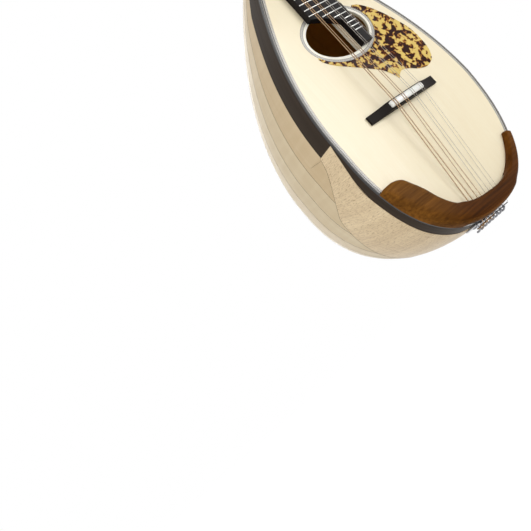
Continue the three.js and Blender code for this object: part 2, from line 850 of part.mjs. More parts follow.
function makeBridge() {
  const half = BRIDGE_LENGTH / 2;
  const flat = SADDLE_LENGTH / 2 + SADDLE_BEVEL;
  const bend = (half + flat) / 2;
  const bendHeight = BRIDGE_END_HEIGHT * 1.15;
  const shape = new THREE.Shape();
  shape.moveTo(-half, 0);
  shape.lineTo(half, 0);
  shape.lineTo(half, -BRIDGE_END_HEIGHT);
  shape.quadraticCurveTo(bend, -bendHeight, flat, -BRIDGE_HEIGHT);
  shape.lineTo(-flat, -BRIDGE_HEIGHT);
  shape.quadraticCurveTo(-bend, -bendHeight, -half, -BRIDGE_END_HEIGHT);
  return crossPlate(shape, BRIDGE_Z - BRIDGE_WIDTH / 2, BRIDGE_Z + BRIDGE_WIDTH / 2);
}
addPiece("bridge", materials.ebony, makeBridge());

function makeSaddle() {
  const half = SADDLE_LENGTH / 2;
  const ring = (x, height, width) => [
    new THREE.Vector3(x, -BRIDGE_HEIGHT, BRIDGE_Z - width / 2),
    new THREE.Vector3(x, -BRIDGE_HEIGHT, BRIDGE_Z + width / 2),
    new THREE.Vector3(x, -BRIDGE_HEIGHT - height * 0.6, BRIDGE_Z + width / 2),
    new THREE.Vector3(x, -BRIDGE_HEIGHT - height, BRIDGE_Z + width / 6),
    new THREE.Vector3(x, -BRIDGE_HEIGHT - height, BRIDGE_Z - width / 6),
    new THREE.Vector3(x, -BRIDGE_HEIGHT - height * 0.6, BRIDGE_Z - width / 2),
  ];
  return loft([
    ring(-half, SADDLE_HEIGHT * 0.3, SADDLE_WIDTH * 0.7),
    ring(-half + SADDLE_BEVEL, SADDLE_HEIGHT, SADDLE_WIDTH),
    ring(half - SADDLE_BEVEL, SADDLE_HEIGHT, SADDLE_WIDTH),
    ring(half, SADDLE_HEIGHT * 0.3, SADDLE_WIDTH * 0.7),
  ]);
}
addPiece("saddle", materials.bone, makeSaddle());

// Head frame: its origin lies at the nut's head end, its Y runs through the head to the back
const headFrame = new THREE.Group();
headFrame.position.set(0, -HEAD_FRONT_PROUD, NUT_LENGTH);
headFrame.rotation.x = -HEAD_PITCH_DEGREES * DEGREE;
group.add(headFrame);
headFrame.updateMatrixWorld(true);

function inPartFrame(solid) {
  return solid.transform(headFrame.matrixWorld.elements);
}

// Tuner rows lean in towards the crown; a row's own X points out to its buttons.
const TUNERS_MIDDLE = FIRST_GEAR_HEIGHT + (TUNER_PITCH * (TUNERS_PER_SIDE - 1)) / 2;
const CENTRE_DISTANCE = GEAR_RADIUS + WORM_RADIUS;

function tunerRow(side) {
  const row = new THREE.Group();
  row.position.set(side * ROW_HALF_SPACING, HEAD_THICKNESS, TUNERS_MIDDLE);
  row.rotation.y = -side * ROW_LEAN_DEGREES * DEGREE;
  headFrame.add(row);
  row.updateMatrixWorld(true);
  return row;
}
const rows = { bass: tunerRow(-1), treble: tunerRow(1) };

function gearHeight(index) {
  return (index - (TUNERS_PER_SIDE - 1) / 2) * TUNER_PITCH;
}

// Head outline: shoulders, scalloped sides with a notch at each worm shaft, three-lobed crown
const NOTCH_HALF_WIDTH = 18.3;
const BUMP_HALF_WIDTH = 21.6;
const CROWN_HALF_WIDTH = 28.6;
const WAIST_HALF_WIDTH = 19.4;
const WAIST_HEIGHT_SHARE = 0.845;
const ROW_SPREAD_SHARE = 0.019;
const crownShares = [
  [0.8, 0.872],
  [1, 0.915],
  [0.98, 0.95],
  [0.7, 0.963],
  [0.55, 0.962],
  [0.42, 0.985],
  [0.2, 0.999],
  [0, 1],
];

function headHalfOutline() {
  const points = [vector(NUT_WIDTH / 2, 0)];
  const shoulder = new THREE.SplineCurve([
    vector(NUT_WIDTH / 2, 0),
    vector(NUT_WIDTH / 2 + SHOULDER_WIDTH * 0.012, SHOULDER_HEIGHT * 0.2),
    vector(NUT_WIDTH / 2 + SHOULDER_WIDTH * 0.07, SHOULDER_HEIGHT * 0.46),
    vector(SHOULDER_WIDTH * 0.42, SHOULDER_HEIGHT * 0.78),
    vector(SHOULDER_WIDTH / 2, SHOULDER_HEIGHT),
  ]);
  points.push(...shoulder.getPoints(8).slice(1));
  points.push(vector(SHOULDER_WIDTH * 0.48, SHOULDER_HEIGHT + TUNER_PITCH * 0.18));
  for (let index = 0; index < TUNERS_PER_SIDE; index++) {
    const notch = FIRST_GEAR_HEIGHT + CENTRE_DISTANCE + TUNER_PITCH * index;
    const widen = ROW_SPREAD_SHARE * TUNER_PITCH * (TUNERS_PER_SIDE - index);
    points.push(vector(NOTCH_HALF_WIDTH + widen, notch));
    if (index + 1 < TUNERS_PER_SIDE) {
      points.push(vector(BUMP_HALF_WIDTH + widen - NOTCH_HALF_WIDTH * 0.05, notch + TUNER_PITCH * 0.3));
      points.push(vector(BUMP_HALF_WIDTH + widen, notch + TUNER_PITCH * 0.5));
      points.push(vector(BUMP_HALF_WIDTH + widen - NOTCH_HALF_WIDTH * 0.06, notch + TUNER_PITCH * 0.74));
    }
  }
  points.push(vector(WAIST_HALF_WIDTH, HEAD_LENGTH * WAIST_HEIGHT_SHARE));
  points.push(...crownShares.map(([across, up]) => vector(CROWN_HALF_WIDTH * across, HEAD_LENGTH * up)));
  return points;
}

function headShape() {
  const right = headHalfOutline();
  const left = right.slice(0, -1).reverse();
  return new THREE.Shape([...right, ...left.map((point) => vector(-point.x, point.y))]);
}

// Neck sections are half round, and grow square into the head's shoulders.
const SECTION_STEPS = 8;

function neckRing(z, halfWidth, front, depth, power) {
  const ring = [];
  for (let i = 0; i <= SECTION_STEPS; i++) {
    const angle = (HALF_TURN * i) / SECTION_STEPS;
    const across = Math.sign(Math.cos(angle)) * Math.abs(Math.cos(angle)) ** power;
    const deep = Math.abs(Math.sin(angle)) ** power;
    ring.push(new THREE.Vector3(-halfWidth * across, front + (depth - front) * deep, z));
  }
  return ring;
}

const neckDepthShares = [
  [0, 0],
  [0.3, 0.05],
  [0.6, 0.13],
  [0.8, 0.24],
  [0.92, 0.5],
  [1, 1],
];

function makeNeckBar() {
  const end = HEEL_Z + GAP;
  const start = neckRing(0, boardHalfWidthAt(0), 0, NECK_DEPTH, 0.9);
  const deeper = HEEL_DEPTH - NECK_DEPTH;
  const rings = neckDepthShares.map(([along, depthShare]) => {
    const z = end * along;
    return neckRing(z, boardHalfWidthAt(z), 0, NECK_DEPTH + deeper * depthShare, 0.9);
  });
  const nutRing = neckRing(NUT_LENGTH + FRET_SINK, boardHalfWidthAt(0), 0, NECK_DEPTH, 0.9);
  return loft([nutRing, start, ...rings.slice(1)]);
}

const shoulderShares = [
  [0, 1, 0.9],
  [0.15, 1.1, 0.88],
  [0.3, 1.28, 0.84],
  [0.5, 1.48, 0.76],
  [0.75, 1.68, 0.55],
  [1, 1.85, 0.2],
];

function shoulderHalfWidth(height) {
  const outline = headHalfOutline();
  for (let i = 0; i + 1 < outline.length; i++) {
    if (outline[i].y <= height && outline[i + 1].y >= height) {
      const share = (height - outline[i].y) / (outline[i + 1].y - outline[i].y);
      return outline[i].x + (outline[i + 1].x - outline[i].x) * share;
    }
  }
  return NUT_WIDTH / 2;
}

function makeShoulder() {
  const front = -HEAD_FRONT_PROUD;
  const rings = shoulderShares.map(([along, depthShare, power]) => {
    const height = SHOULDER_HEIGHT * along;
    const z = NUT_LENGTH + height;
    return neckRing(z, shoulderHalfWidth(height), front, NECK_DEPTH * depthShare, power);
  });
  const slab = inPartFrame(
    box(-BODY_WIDTH, BODY_WIDTH, 0, HEAD_THICKNESS, -HEAD_LENGTH, HEAD_LENGTH),
  );
  return loft(rings).intersect(slab);
}

function makeHeadSlab() {
  const body = plate(headShape(), 0, HEAD_THICKNESS);
  const above = SHOULDER_HEIGHT * 0.96;
  return body.intersect(
    box(-BODY_WIDTH, BODY_WIDTH, -OVERRUN, OVERRUN, above, HEAD_LENGTH + OVERRUN),
  );
}

// A long round cutter about Y
function borer(radius, sides) {
  return turned(
    [
      [0, -OVERRUN],
      [radius, -OVERRUN],
      [radius, OVERRUN],
      [0, OVERRUN],
    ],
    sides,
  );
}
const postCutter = borer(POST_HOLE_RADIUS, POST_SIDES);

function postHole(row, index) {
  const place = new THREE.Matrix4().makeTranslation(0, 0, gearHeight(index));
  place.premultiply(row.matrixWorld);
  return postCutter.transform(place.elements);
}

function makeNeckAndHead() {
  let neck = union(makeNeckBar(), makeShoulder(), inPartFrame(makeHeadSlab()));
  Object.values(rows).forEach((row) => {
    for (let index = 0; index < TUNERS_PER_SIDE; index++) {
      neck = neck.subtract(postHole(row, index));
    }
  });
  return neck;
}
addPiece("neck_and_head", materials.maple, makeNeckAndHead());

// Tuner plates with two bearing lugs for each worm
const PLATE_FRONT = GAP;
const PLATE_BACK = PLATE_FRONT + PLATE_THICKNESS;
const AXIS_Y = PLATE_BACK + WORM_AXIS_HEIGHT;
const LUG_OFFSET = WORM_LENGTH / 2 + GAP + LUG_THICKNESS / 2;

function tunerPlateShape() {
  const half = PLATE_WIDTH / 2;
  const low = gearHeight(0) - TUNER_PITCH * 0.53;
  const high = gearHeight(TUNERS_PER_SIDE - 1) + TUNER_PITCH * 0.8;
  const waist = TAB_RADIUS * 0.8;
  const shape = new THREE.Shape();
  shape.moveTo(-waist, low + TAB_RADIUS);
  shape.absarc(0, low, TAB_RADIUS, 145 * DEGREE, 395 * DEGREE, false);
  shape.lineTo(half, low + TAB_RADIUS * 1.5);
  shape.lineTo(half, high - TAB_RADIUS * 1.5);
  shape.absarc(0, high, TAB_RADIUS, -35 * DEGREE, 215 * DEGREE, false);
  shape.lineTo(-half, high - TAB_RADIUS * 1.5);
  shape.lineTo(-half, low + TAB_RADIUS * 1.5);
  return shape;
}

function lugAt(index, offset) {
  const shape = new THREE.Shape();
  const half = LUG_WIDTH / 2;
  const foot = -WORM_AXIS_HEIGHT - PLATE_THICKNESS / 2;
  shape.moveTo(-half, foot);
  shape.lineTo(half, foot);
  shape.lineTo(half, LUG_CORNER);
  shape.lineTo(LUG_CORNER, half);
  shape.lineTo(-LUG_CORNER, half);
  shape.lineTo(-half, LUG_CORNER);
  const hole = new THREE.Path();
  hole.absarc(0, 0, JOURNAL_RADIUS + GAP, 0, FULL_TURN, true);
  shape.holes.push(hole);
  const geometry = new THREE.ExtrudeGeometry(shape, {
    depth: LUG_THICKNESS,
    bevelEnabled: false,
    curveSegments: 3,
  });
  const turn = new THREE.Matrix4().makeBasis(
    new THREE.Vector3(0, 0, 1),
    new THREE.Vector3(0, 1, 0),
    new THREE.Vector3(-1, 0, 0),
  );
  geometry.applyMatrix4(turn);
  geometry.translate(offset + LUG_THICKNESS / 2, AXIS_Y, gearHeight(index) + CENTRE_DISTANCE);
  return solidOf(geometry);
}

function makeTunerPlate() {
  let body = plate(tunerPlateShape(), PLATE_FRONT, PLATE_BACK, 8);
  for (let index = 0; index < TUNERS_PER_SIDE; index++) {
    body = body.subtract(postCutter.translate([0, 0, gearHeight(index)]));
    body = body.add(lugAt(index, LUG_OFFSET)).add(lugAt(index, -LUG_OFFSET));
  }
  return body;
}
addPiece("tuner_plate_bass", materials.chrome, makeTunerPlate(), rows.bass);
addPiece("tuner_plate_treble", materials.chrome, makeTunerPlate(), rows.treble);

// Worm and gear: one right-hand thread on the worm, teeth set to its lead angle on the gear
const WORM_PITCH = (2 * Math.PI * GEAR_RADIUS) / GEAR_TEETH;
const LEAD = WORM_PITCH / (2 * Math.PI * WORM_RADIUS);
const TURN_STEPS = 6;
const SHAFT_SIDES = 6;
const THREAD_ROOT_SHARE = 0.42;
const THREAD_TIP_SHARE = 0.16;
const TOOTH_ROOT_SHARE = 0.52;
const TOOTH_TIP_SHARE = 0.2;

// The thread in a frame whose X is the worm's axis and whose -Z side meets the gear.
function makeThread() {
  const turns = WORM_LENGTH / WORM_PITCH - 0.6;
  const steps = Math.round(turns * TURN_STEPS);
  const base = WORM_RADIUS - WORM_ROOT - GAP;
  const tip = WORM_RADIUS + WORM_TIP;
  const rings = [];
  for (let i = 0; i <= steps; i++) {
    const turn = (i - steps / 2) / TURN_STEPS;
    const angle = turn * FULL_TURN;
    const along = turn * WORM_PITCH;
    const fade = Math.min(1, (Math.min(i, steps - i) + 1) / 3);
    const outer = base + (tip - base) * fade;
    const at = (radius, offset) =>
      new THREE.Vector3(along + offset, radius * Math.sin(angle), -radius * Math.cos(angle));
    const root = (WORM_PITCH * THREAD_ROOT_SHARE) / 2;
    const crest = (WORM_PITCH * THREAD_TIP_SHARE) / 2;
    rings.push([at(base, -root), at(outer, -crest), at(outer, crest), at(base, root)]);
  }
  return loft(rings);
}

function alongX(solid) {
  const turn = new THREE.Matrix4().makeBasis(
    new THREE.Vector3(0, 1, 0),
    new THREE.Vector3(1, 0, 0),
    new THREE.Vector3(0, 0, -1),
  );
  return solid.transform(turn.elements);
}

function makeWormShaft() {
  const inner = -LUG_OFFSET - LUG_THICKNESS;
  const outer = LUG_OFFSET + LUG_THICKNESS / 2 + GAP;
  const core = WORM_RADIUS - WORM_ROOT;
  const stemEnd = BUTTON_CENTRE - BUTTON_LENGTH / 2 - GAP;
  const shaft = turned(
    [
      [0, inner],
      [JOURNAL_RADIUS, inner],
      [JOURNAL_RADIUS, -WORM_LENGTH / 2],
      [core, -WORM_LENGTH / 2],
      [core, WORM_LENGTH / 2],
      [JOURNAL_RADIUS, WORM_LENGTH / 2],
      [JOURNAL_RADIUS, outer],
      [STEM_RADIUS * 1.25, outer],
      [STEM_RADIUS * 1.25, outer + LUG_THICKNESS],
      [STEM_RADIUS * 0.8, outer + 2 * LUG_THICKNESS],
      [STEM_RADIUS, stemEnd - LUG_THICKNESS],
      [STEM_RADIUS * 1.3, stemEnd],
      [0, stemEnd],
    ],
    SHAFT_SIDES,
  );
  return alongX(shaft).add(makeThread());
}

function makeGear() {
  const rings = [-0.5, 0.5].map((level) => {
    const y = level * GEAR_THICKNESS;
    const twist = (y * LEAD) / GEAR_RADIUS;
    const outer = [];
    for (let tooth = 0; tooth < GEAR_TEETH; tooth++) {
      const centre = ((tooth + 0.5) / GEAR_TEETH) * FULL_TURN + twist;
      const root = ((TOOTH_ROOT_SHARE / GEAR_TEETH) * FULL_TURN) / 2;
      const tip = ((TOOTH_TIP_SHARE / GEAR_TEETH) * FULL_TURN) / 2;
      [
        [-root, GEAR_RADIUS - GEAR_ROOT],
        [-tip, GEAR_RADIUS + GEAR_TIP],
        [tip, GEAR_RADIUS + GEAR_TIP],
        [root, GEAR_RADIUS - GEAR_ROOT],
      ].forEach(([offset, radius]) => {
        const angle = centre + offset;
        outer.push(new THREE.Vector3(radius * Math.sin(angle), y, radius * Math.cos(angle)));
      });
    }
    return outer;
  });
  return loft(rings).subtract(borer(GEAR_BORE, POST_SIDES));
}

// String post: it turns in the head, carries the gear at the back and the string in front
function makePost() {
  const gearFront = AXIS_Y - GEAR_THICKNESS / 2;
  const collarBack = gearFront - GAP;
  const collarFront = collarBack - POST_COLLAR_HEIGHT + GAP;
  const end = AXIS_Y + GEAR_THICKNESS / 2 - GAP;
  const front = -HEAD_THICKNESS - POST_LENGTH_FRONT;
  const holeY = front + POST_LENGTH_FRONT * EYELET_SHARE;
  const waist = POST_RADIUS * 0.86;
  const body = turned(
    [
      [0, front],
      [POST_RADIUS * 0.8, front],
      [POST_RADIUS, front + POST_CHAMFER],
      [POST_RADIUS, holeY - POST_RADIUS],
      [waist, holeY],
      [POST_RADIUS, holeY + POST_RADIUS],
      [POST_RADIUS, collarFront],
      [POST_COLLAR_RADIUS, collarFront],
      [POST_COLLAR_RADIUS, collarBack],
      [POST_SHANK_RADIUS, collarBack],
      [POST_SHANK_RADIUS, end],
      [0, end],
    ],
    POST_SIDES,
  );
  return body.subtract(alongX(borer(EYELET_RADIUS, EYELET_SIDES)).translate([0, holeY, 0]));
}

// Button: an oval cushion, thinner at its rim, with a neck where the shaft enters
const buttonProfileShares = [
  [-0.5, 0.2, 0.4],
  [-0.46, 0.42, 0.62],
  [-0.3, 0.84, 0.8],
  [-0.05, 1, 1],
  [0.2, 0.94, 0.92],
  [0.4, 0.66, 0.66],
  [0.5, 0.24, 0.3],
];
const BUTTON_SIDES = 10;

function makeButton() {
  const rings = buttonProfileShares.map(([along, widthShare, thickShare]) => {
    const ring = [];
    for (let i = 0; i < BUTTON_SIDES; i++) {
      const angle = (FULL_TURN * i) / BUTTON_SIDES;
      ring.push(
        new THREE.Vector3(
          along * BUTTON_LENGTH,
          (thickShare * BUTTON_THICKNESS * Math.sin(angle)) / 2,
          (widthShare * BUTTON_WIDTH * Math.cos(angle)) / 2,
        ),
      );
    }
    return ring;
  });
  return loft(rings);
}

// Tuners are numbered from the nut up, bass side first.
const wormGeometry = geometryOf(makeWormShaft());
const gearGeometry = geometryOf(makeGear());
const postGeometry = geometryOf(makePost());
const buttonGeometry = geometryOf(makeButton());

function addTuner(sideName, side, index) {
  const label = sideName + "_" + (index + 1);
  const gearPlace = new THREE.Group();
  gearPlace.position.set(0, 0, gearHeight(index));
  rows[sideName].add(gearPlace);
  addPiece("post_" + label, materials.steel, postGeometry, gearPlace);
  const gear = addPiece("gear_" + label, materials.brass, gearGeometry, gearPlace);
  gear.position.y = AXIS_Y;
  const wormPlace = new THREE.Group();
  wormPlace.position.set(0, AXIS_Y, gearHeight(index) + CENTRE_DISTANCE);
  if (side < 0) wormPlace.rotation.z = HALF_TURN;
  rows[sideName].add(wormPlace);
  addPiece("worm_" + label, materials.chrome, wormGeometry, wormPlace);
  const button = addPiece("button_" + label, materials.ivory, buttonGeometry, wormPlace);
  button.position.x = BUTTON_CENTRE;
}
for (let index = 0; index < TUNERS_PER_SIDE; index++) {
  addTuner("bass", -1, index);
  addTuner("treble", 1, index);
}

// Tailpiece: a plate at the tail with one hook for each string
const HOOK_SIDES = 5;
const plateZ = TAIL_Z - GAP - TAIL_PLATE_THICKNESS;
const tailDrop = rimDropAt(TAIL_Z);
const plateTop = tailDrop + RIM_SEAT;

function hookX(string) {
  return (string - (2 * COURSE_COUNT - 1) / 2) * HOOK_SPACING;
}

function wire(points, radius, sides) {
  const rings = points.map((point, i) => {
    const before = points[Math.max(0, i - 1)];
    const after = points[Math.min(points.length - 1, i + 1)];
    const toHere = point.clone().sub(before).normalize();
    const onward = after.clone().sub(point).normalize();
    const tangent = toHere.clone().add(onward).normalize();
    const across = new THREE.Vector3(1, 0, 0).addScaledVector(tangent, -tangent.x).normalize();
    const up = tangent.clone().cross(across);
    const ring = [];
    for (let j = 0; j < sides; j++) {
      const angle = (FULL_TURN * (j + 0.5)) / sides;
      ring.push(
        point
          .clone()
          .addScaledVector(across, radius * Math.cos(angle))
          .addScaledVector(up, radius * Math.sin(angle)),
      );
    }
    return ring;
  });
  return loft(rings);
}

function makeTailpiece() {
  const half = TAIL_PLATE_WIDTH / 2;
  const low = plateTop + TAIL_PLATE_HEIGHT;
  const bend = plateTop + TAIL_PLATE_HEIGHT * 0.7;
  const shape = new THREE.Shape();
  shape.moveTo(-half, plateTop);
  shape.lineTo(half, plateTop);
  shape.quadraticCurveTo(half, bend, 0, low);
  shape.quadraticCurveTo(-half, bend, -half, plateTop);
  const outside = -GAP - TAIL_PLATE_THICKNESS;
  const seat = bowlSolid(-GAP, -GAP);
  let body = crossPlate(shape, plateZ - GAP, plateZ + OVERRUN).intersect(bowlSolid(outside, outside));
  for (let string = 0; string < 2 * COURSE_COUNT; string++) {
    const x = hookX(string);
    const y = plateTop + HOOK_ROOT_DROP;
    const z = plateZ + TAIL_PLATE_THICKNESS / 2;
    body = body.add(
      wire(
        [
          new THREE.Vector3(x, y, z + HOOK_REACH),
          new THREE.Vector3(x, y, z - HOOK_REACH * 0.7),
          new THREE.Vector3(x, y + HOOK_REACH * 0.3, z - HOOK_REACH),
          new THREE.Vector3(x, y + HOOK_DROP * 0.6, z - HOOK_REACH),
        ],
        HOOK_RADIUS,
        HOOK_SIDES,
      ),
    );
  }
  return body.subtract(seat);
}
addPiece("tailpiece", materials.chrome, makeTailpiece());

// Armrest: a rounded band over the tail edge, wide on the bass side, arched over the strings
const ARMREST_STEPS = 18;
const ARMREST_SAMPLES = 60;
const ARMREST_BASS_DEGREES = -71;
const ARMREST_TREBLE_DEGREES = 55;
const armrestWidthShares = new THREE.SplineCurve([
  vector(0, 0.75),
  vector(0.07, 0.98),
  vector(0.17, 1),
  vector(0.27, 0.82),
  vector(0.4, 0.56),
  vector(0.56, 0.46),
  vector(0.72, 0.45),
  vector(0.88, 0.56),
  vector(1, 0.58),
]);
const armrestHeightShares = new THREE.SplineCurve([
  vector(0, 0.45),
  vector(0.08, 0.8),
  vector(0.2, 1),
  vector(0.8, 1),
  vector(0.93, 0.8),
  vector(1, 0.45),
]);

function curveAt(curve, along) {
  let best = curve.getPoint(0);
  for (let i = 0; i <= ARMREST_SAMPLES; i++) {
    const point = curve.getPoint(i / ARMREST_SAMPLES);
    if (Math.abs(point.x - along) < Math.abs(best.x - along)) best = point;
  }
  return best.y;
}

function tailOutlinePoint(turn) {
  const angle = QUARTER_TURN - Math.abs(turn);
  const z = WIDEST_Z - LOWER_LENGTH * Math.sin(angle) ** (2 / OUTLINE_POWER);
  const side = turn < 0 ? 0 : HALF_TURN;
  const edge = insetBowlPoint(z, side, 0);
  const inward = insetBowlPoint(z, side, SKIN).sub(edge).setY(0).normalize();
  return { edge, inward };
}

function armrestRing(share) {
  const turn = (ARMREST_BASS_DEGREES + (ARMREST_TREBLE_DEGREES - ARMREST_BASS_DEGREES) * share) * DEGREE;
  const { edge, inward } = tailOutlinePoint(turn);
  const width = ARMREST_WIDTH * curveAt(armrestWidthShares, share);
  const crown = ARMREST_CROWN * curveAt(armrestHeightShares, share);
  const overStrings = Math.abs(edge.x) < hookX(2 * COURSE_COUNT - 1) + 3 * HOOK_SPACING;
  const foot = overStrings ? ARMREST_ARCH : GAP;
  const at = (acrossShare, height) => {
    const inset = -ARMREST_OVERHANG + (width + ARMREST_OVERHANG) * acrossShare;
    const point = edge.clone().addScaledVector(inward, inset);
    return new THREE.Vector3(point.x, rimDropAt(point.z) - height, point.z);
  };
  const side = foot + (crown - foot) * 0.45;
  return [
    at(0, foot),
    at(0, side),
    at(0.12, foot + (crown - foot) * 0.86),
    at(0.35, crown),
    at(0.65, crown),
    at(0.9, foot + (crown - foot) * 0.82),
    at(1, side),
    at(1, foot),
  ];
}

function makeArmrest() {
  const rings = [];
  for (let i = 0; i <= ARMREST_STEPS; i++) rings.push(armrestRing(i / ARMREST_STEPS));
  return loft(rings);
}
addPiece("armrest", materials.rosewood, makeArmrest());

// Strings: hook, tail edge, saddle, nut and post
const STRING_SIDES = 5;
const strings = [];
for (let string = 0; string < 2 * COURSE_COUNT; string++) {
  const course = Math.floor(string / 2);
  const pair = string % 2 === 0 ? -0.5 : 0.5;
  const offset = course - (COURSE_COUNT - 1) / 2;
  strings.push({
    radius: STRING_RADII[course],
    material: course < 2 ? materials.copper : materials.steel,
    nutX: offset * COURSE_SPACING_NUT + pair * PAIR_SPACING_NUT,
    bridgeX: offset * COURSE_SPACING_BRIDGE + pair * PAIR_SPACING_BRIDGE,
    tailX: hookX(string),
  });
}

// Each string's post: bass strings on the bass row, the outer string on the post nearest the nut
function postPlace(string) {
  const sideName = string < COURSE_COUNT ? "bass" : "treble";
  const index = sideName === "bass" ? string : 2 * COURSE_COUNT - 1 - string;
  const side = sideName === "bass" ? -1 : 1;
  const radius = strings[string].radius;
  const front = -HEAD_THICKNESS - POST_LENGTH_FRONT;
  const level = front + POST_LENGTH_FRONT * EYELET_SHARE;
  const clear = POST_RADIUS + GAP + radius;
  return rows[sideName].localToWorld(new THREE.Vector3(-side * clear, level, gearHeight(index)));
}

function makeString(string) {
  const { radius, nutX, bridgeX, tailX } = strings[string];
  const nutY = -NUT_HEIGHT - radius - GAP;
  const saddleY = -SADDLE_TOP - radius - GAP;
  const edgeY = tailDrop - radius - GAP;
  const hookY = plateTop + HOOK_ROOT_DROP - HOOK_RADIUS - radius - GAP;
  const beyondPlate = plateZ - radius - GAP;
  const post = postPlace(string);
  return wire(
    [
      new THREE.Vector3(tailX, hookY, beyondPlate),
      new THREE.Vector3(tailX, tailDrop + radius, beyondPlate),
      new THREE.Vector3(tailX, edgeY, TAIL_Z - GAP),
      new THREE.Vector3(bridgeX, saddleY, BRIDGE_Z - SADDLE_WIDTH / 6),
      new THREE.Vector3(bridgeX, saddleY, BRIDGE_Z + SADDLE_WIDTH / 6),
      new THREE.Vector3(nutX, nutY, 0),
      new THREE.Vector3(nutX, nutY + FRET_SINK, NUT_LENGTH * 0.5),
      post,
    ],
    radius,
    STRING_SIDES,
  );
}
strings.forEach((entry, string) => {
  addPiece("string_" + (string + 1), entry.material, makeString(string));
});

export default group;
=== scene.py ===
import functools
from math import asin, copysign, cos, hypot, pi, radians, sin, sqrt, tan, tau

import bmesh
import bpy
import numpy as np
from mathutils import Matrix, Vector


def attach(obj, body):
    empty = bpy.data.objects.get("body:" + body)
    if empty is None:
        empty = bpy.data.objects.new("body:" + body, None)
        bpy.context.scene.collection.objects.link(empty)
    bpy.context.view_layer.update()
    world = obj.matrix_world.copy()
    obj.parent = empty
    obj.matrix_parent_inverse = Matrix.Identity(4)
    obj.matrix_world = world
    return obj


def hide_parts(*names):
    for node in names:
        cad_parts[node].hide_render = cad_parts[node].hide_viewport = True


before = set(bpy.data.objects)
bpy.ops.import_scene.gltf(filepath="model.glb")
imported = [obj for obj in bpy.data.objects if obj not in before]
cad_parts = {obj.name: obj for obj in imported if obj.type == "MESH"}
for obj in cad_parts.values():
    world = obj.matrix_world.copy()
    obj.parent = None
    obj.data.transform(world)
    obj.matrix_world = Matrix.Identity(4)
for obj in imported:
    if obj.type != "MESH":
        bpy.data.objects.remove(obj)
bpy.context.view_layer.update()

# Lengths are in millimetres and become metres where a mesh is made.
MM = 0.001
ROOT = "instrument"

# Driving sizes, the same as the CAD model's
SCALE_LENGTH = 330
BODY_LENGTH = 300
BODY_WIDTH = 197
BOWL_DEPTH = 149
TAIL_BEHIND_BRIDGE = 122
WIDEST_BEHIND_BRIDGE = 10
HEEL_DEPTH = 32
NUT_WIDTH = 28.8
HEEL_WIDTH = 38.6
CANT = radians(4)
GAP = 0.3
RIB_COUNT = 17
FRET_COUNT = 26
BRIDGE_Z = -SCALE_LENGTH
TAIL_Z = BRIDGE_Z - TAIL_BEHIND_BRIDGE
HEEL_Z = TAIL_Z + BODY_LENGTH
WIDEST_Z = BRIDGE_Z - WIDEST_BEHIND_BRIDGE
UPPER_LENGTH = HEEL_Z - WIDEST_Z
LOWER_LENGTH = WIDEST_Z - TAIL_Z
HALF_WIDTH = BODY_WIDTH / 2
HOLE_Z = BRIDGE_Z + 81
HOLE_HALF_WIDTH = 38.9
HOLE_HALF_HEIGHT = 22.7
STRIP_DEPTH = 21
STRIP_DEPTH_SHARE = 0.27
BOARD_THICKNESS = 2.8
BOARD_TOP = 6.5
OUTLINE_ROUNDNESS = 2.35
DEPTH_ROUNDNESS = 2.2
SECTION_POWER = 0.935


# Body form

def bezier_share(first, second, end):
    t = np.linspace(0, 1, 400)
    along = 3 * (1 - t) ** 2 * t * first[0] + 3 * (1 - t) * t**2 * second[0] + t**3
    value = (1 - t) ** 3 + 3 * (1 - t) ** 2 * t * first[1] + 3 * (1 - t) * t**2 * second[1] + t**3 * end
    return lambda at: float(np.interp(at, along, value))


upper_width_share = bezier_share((0.42, 1), (0.72, 0.55), HEEL_WIDTH / BODY_WIDTH)
upper_depth_share = bezier_share((0.3, 1), (0.74, 0.7), HEEL_DEPTH / BOWL_DEPTH)


def form_at(z, size, upper_share, roundness):
    if z >= WIDEST_Z:
        return size * upper_share((z - WIDEST_Z) / UPPER_LENGTH)
    along = min(1.0, (WIDEST_Z - z) / LOWER_LENGTH)
    return size * max(0.0, 1 - along**roundness) ** (1 / roundness)


def half_width_at(z):
    return form_at(z, HALF_WIDTH, upper_width_share, OUTLINE_ROUNDNESS)


def depth_at(z):
    return form_at(z, BOWL_DEPTH, upper_depth_share, DEPTH_ROUNDNESS)


def rim_drop_at(z):
    return max(0.0, WIDEST_Z - z) * tan(CANT)


def signed_power(value, power=SECTION_POWER):
    return copysign(abs(value) ** power, value)


def bowl_point(z, angle):
    return Vector((
        -half_width_at(z) * signed_power(cos(angle)),
        rim_drop_at(z) + depth_at(z) * signed_power(sin(angle)),
        z,
    ))


def bowl_normal(z, angle):
    step, turn_step, margin = BODY_LENGTH / 3000, 0.002, 0.004
    near = min(HEEL_Z - step, max(z, TAIL_Z + 2 * step))
    angle = min(pi - margin, max(margin, angle))
    along = bowl_point(near + step, angle) - bowl_point(near - step, angle)
    across = bowl_point(near, angle + turn_step) - bowl_point(near, angle - turn_step)
    normal = across.cross(along).normalized()
    outward = bowl_point(near, angle) - Vector((0, rim_drop_at(z), WIDEST_Z))
    return normal if normal.dot(outward) > 0 else -normal


@functools.cache
def inset_point(z, angle, inset):
    return bowl_point(z, angle) - bowl_normal(z, angle) * inset


def depth_share(z, depth):
    return min(1.0, depth / max(depth_at(z), 0.001))


def angle_at_share(share):
    return asin(max(0.0, share) ** (1 / SECTION_POWER))


def angle_at_depth(z, depth):
    return angle_at_share(depth_share(z, depth))


def seam_angle_at(z):
    return angle_at_share(min(depth_share(z, STRIP_DEPTH), STRIP_DEPTH_SHARE))


def rib_angle(z, rib):
    seam = seam_angle_at(z)
    return seam + (pi - 2 * seam) * rib / RIB_COUNT


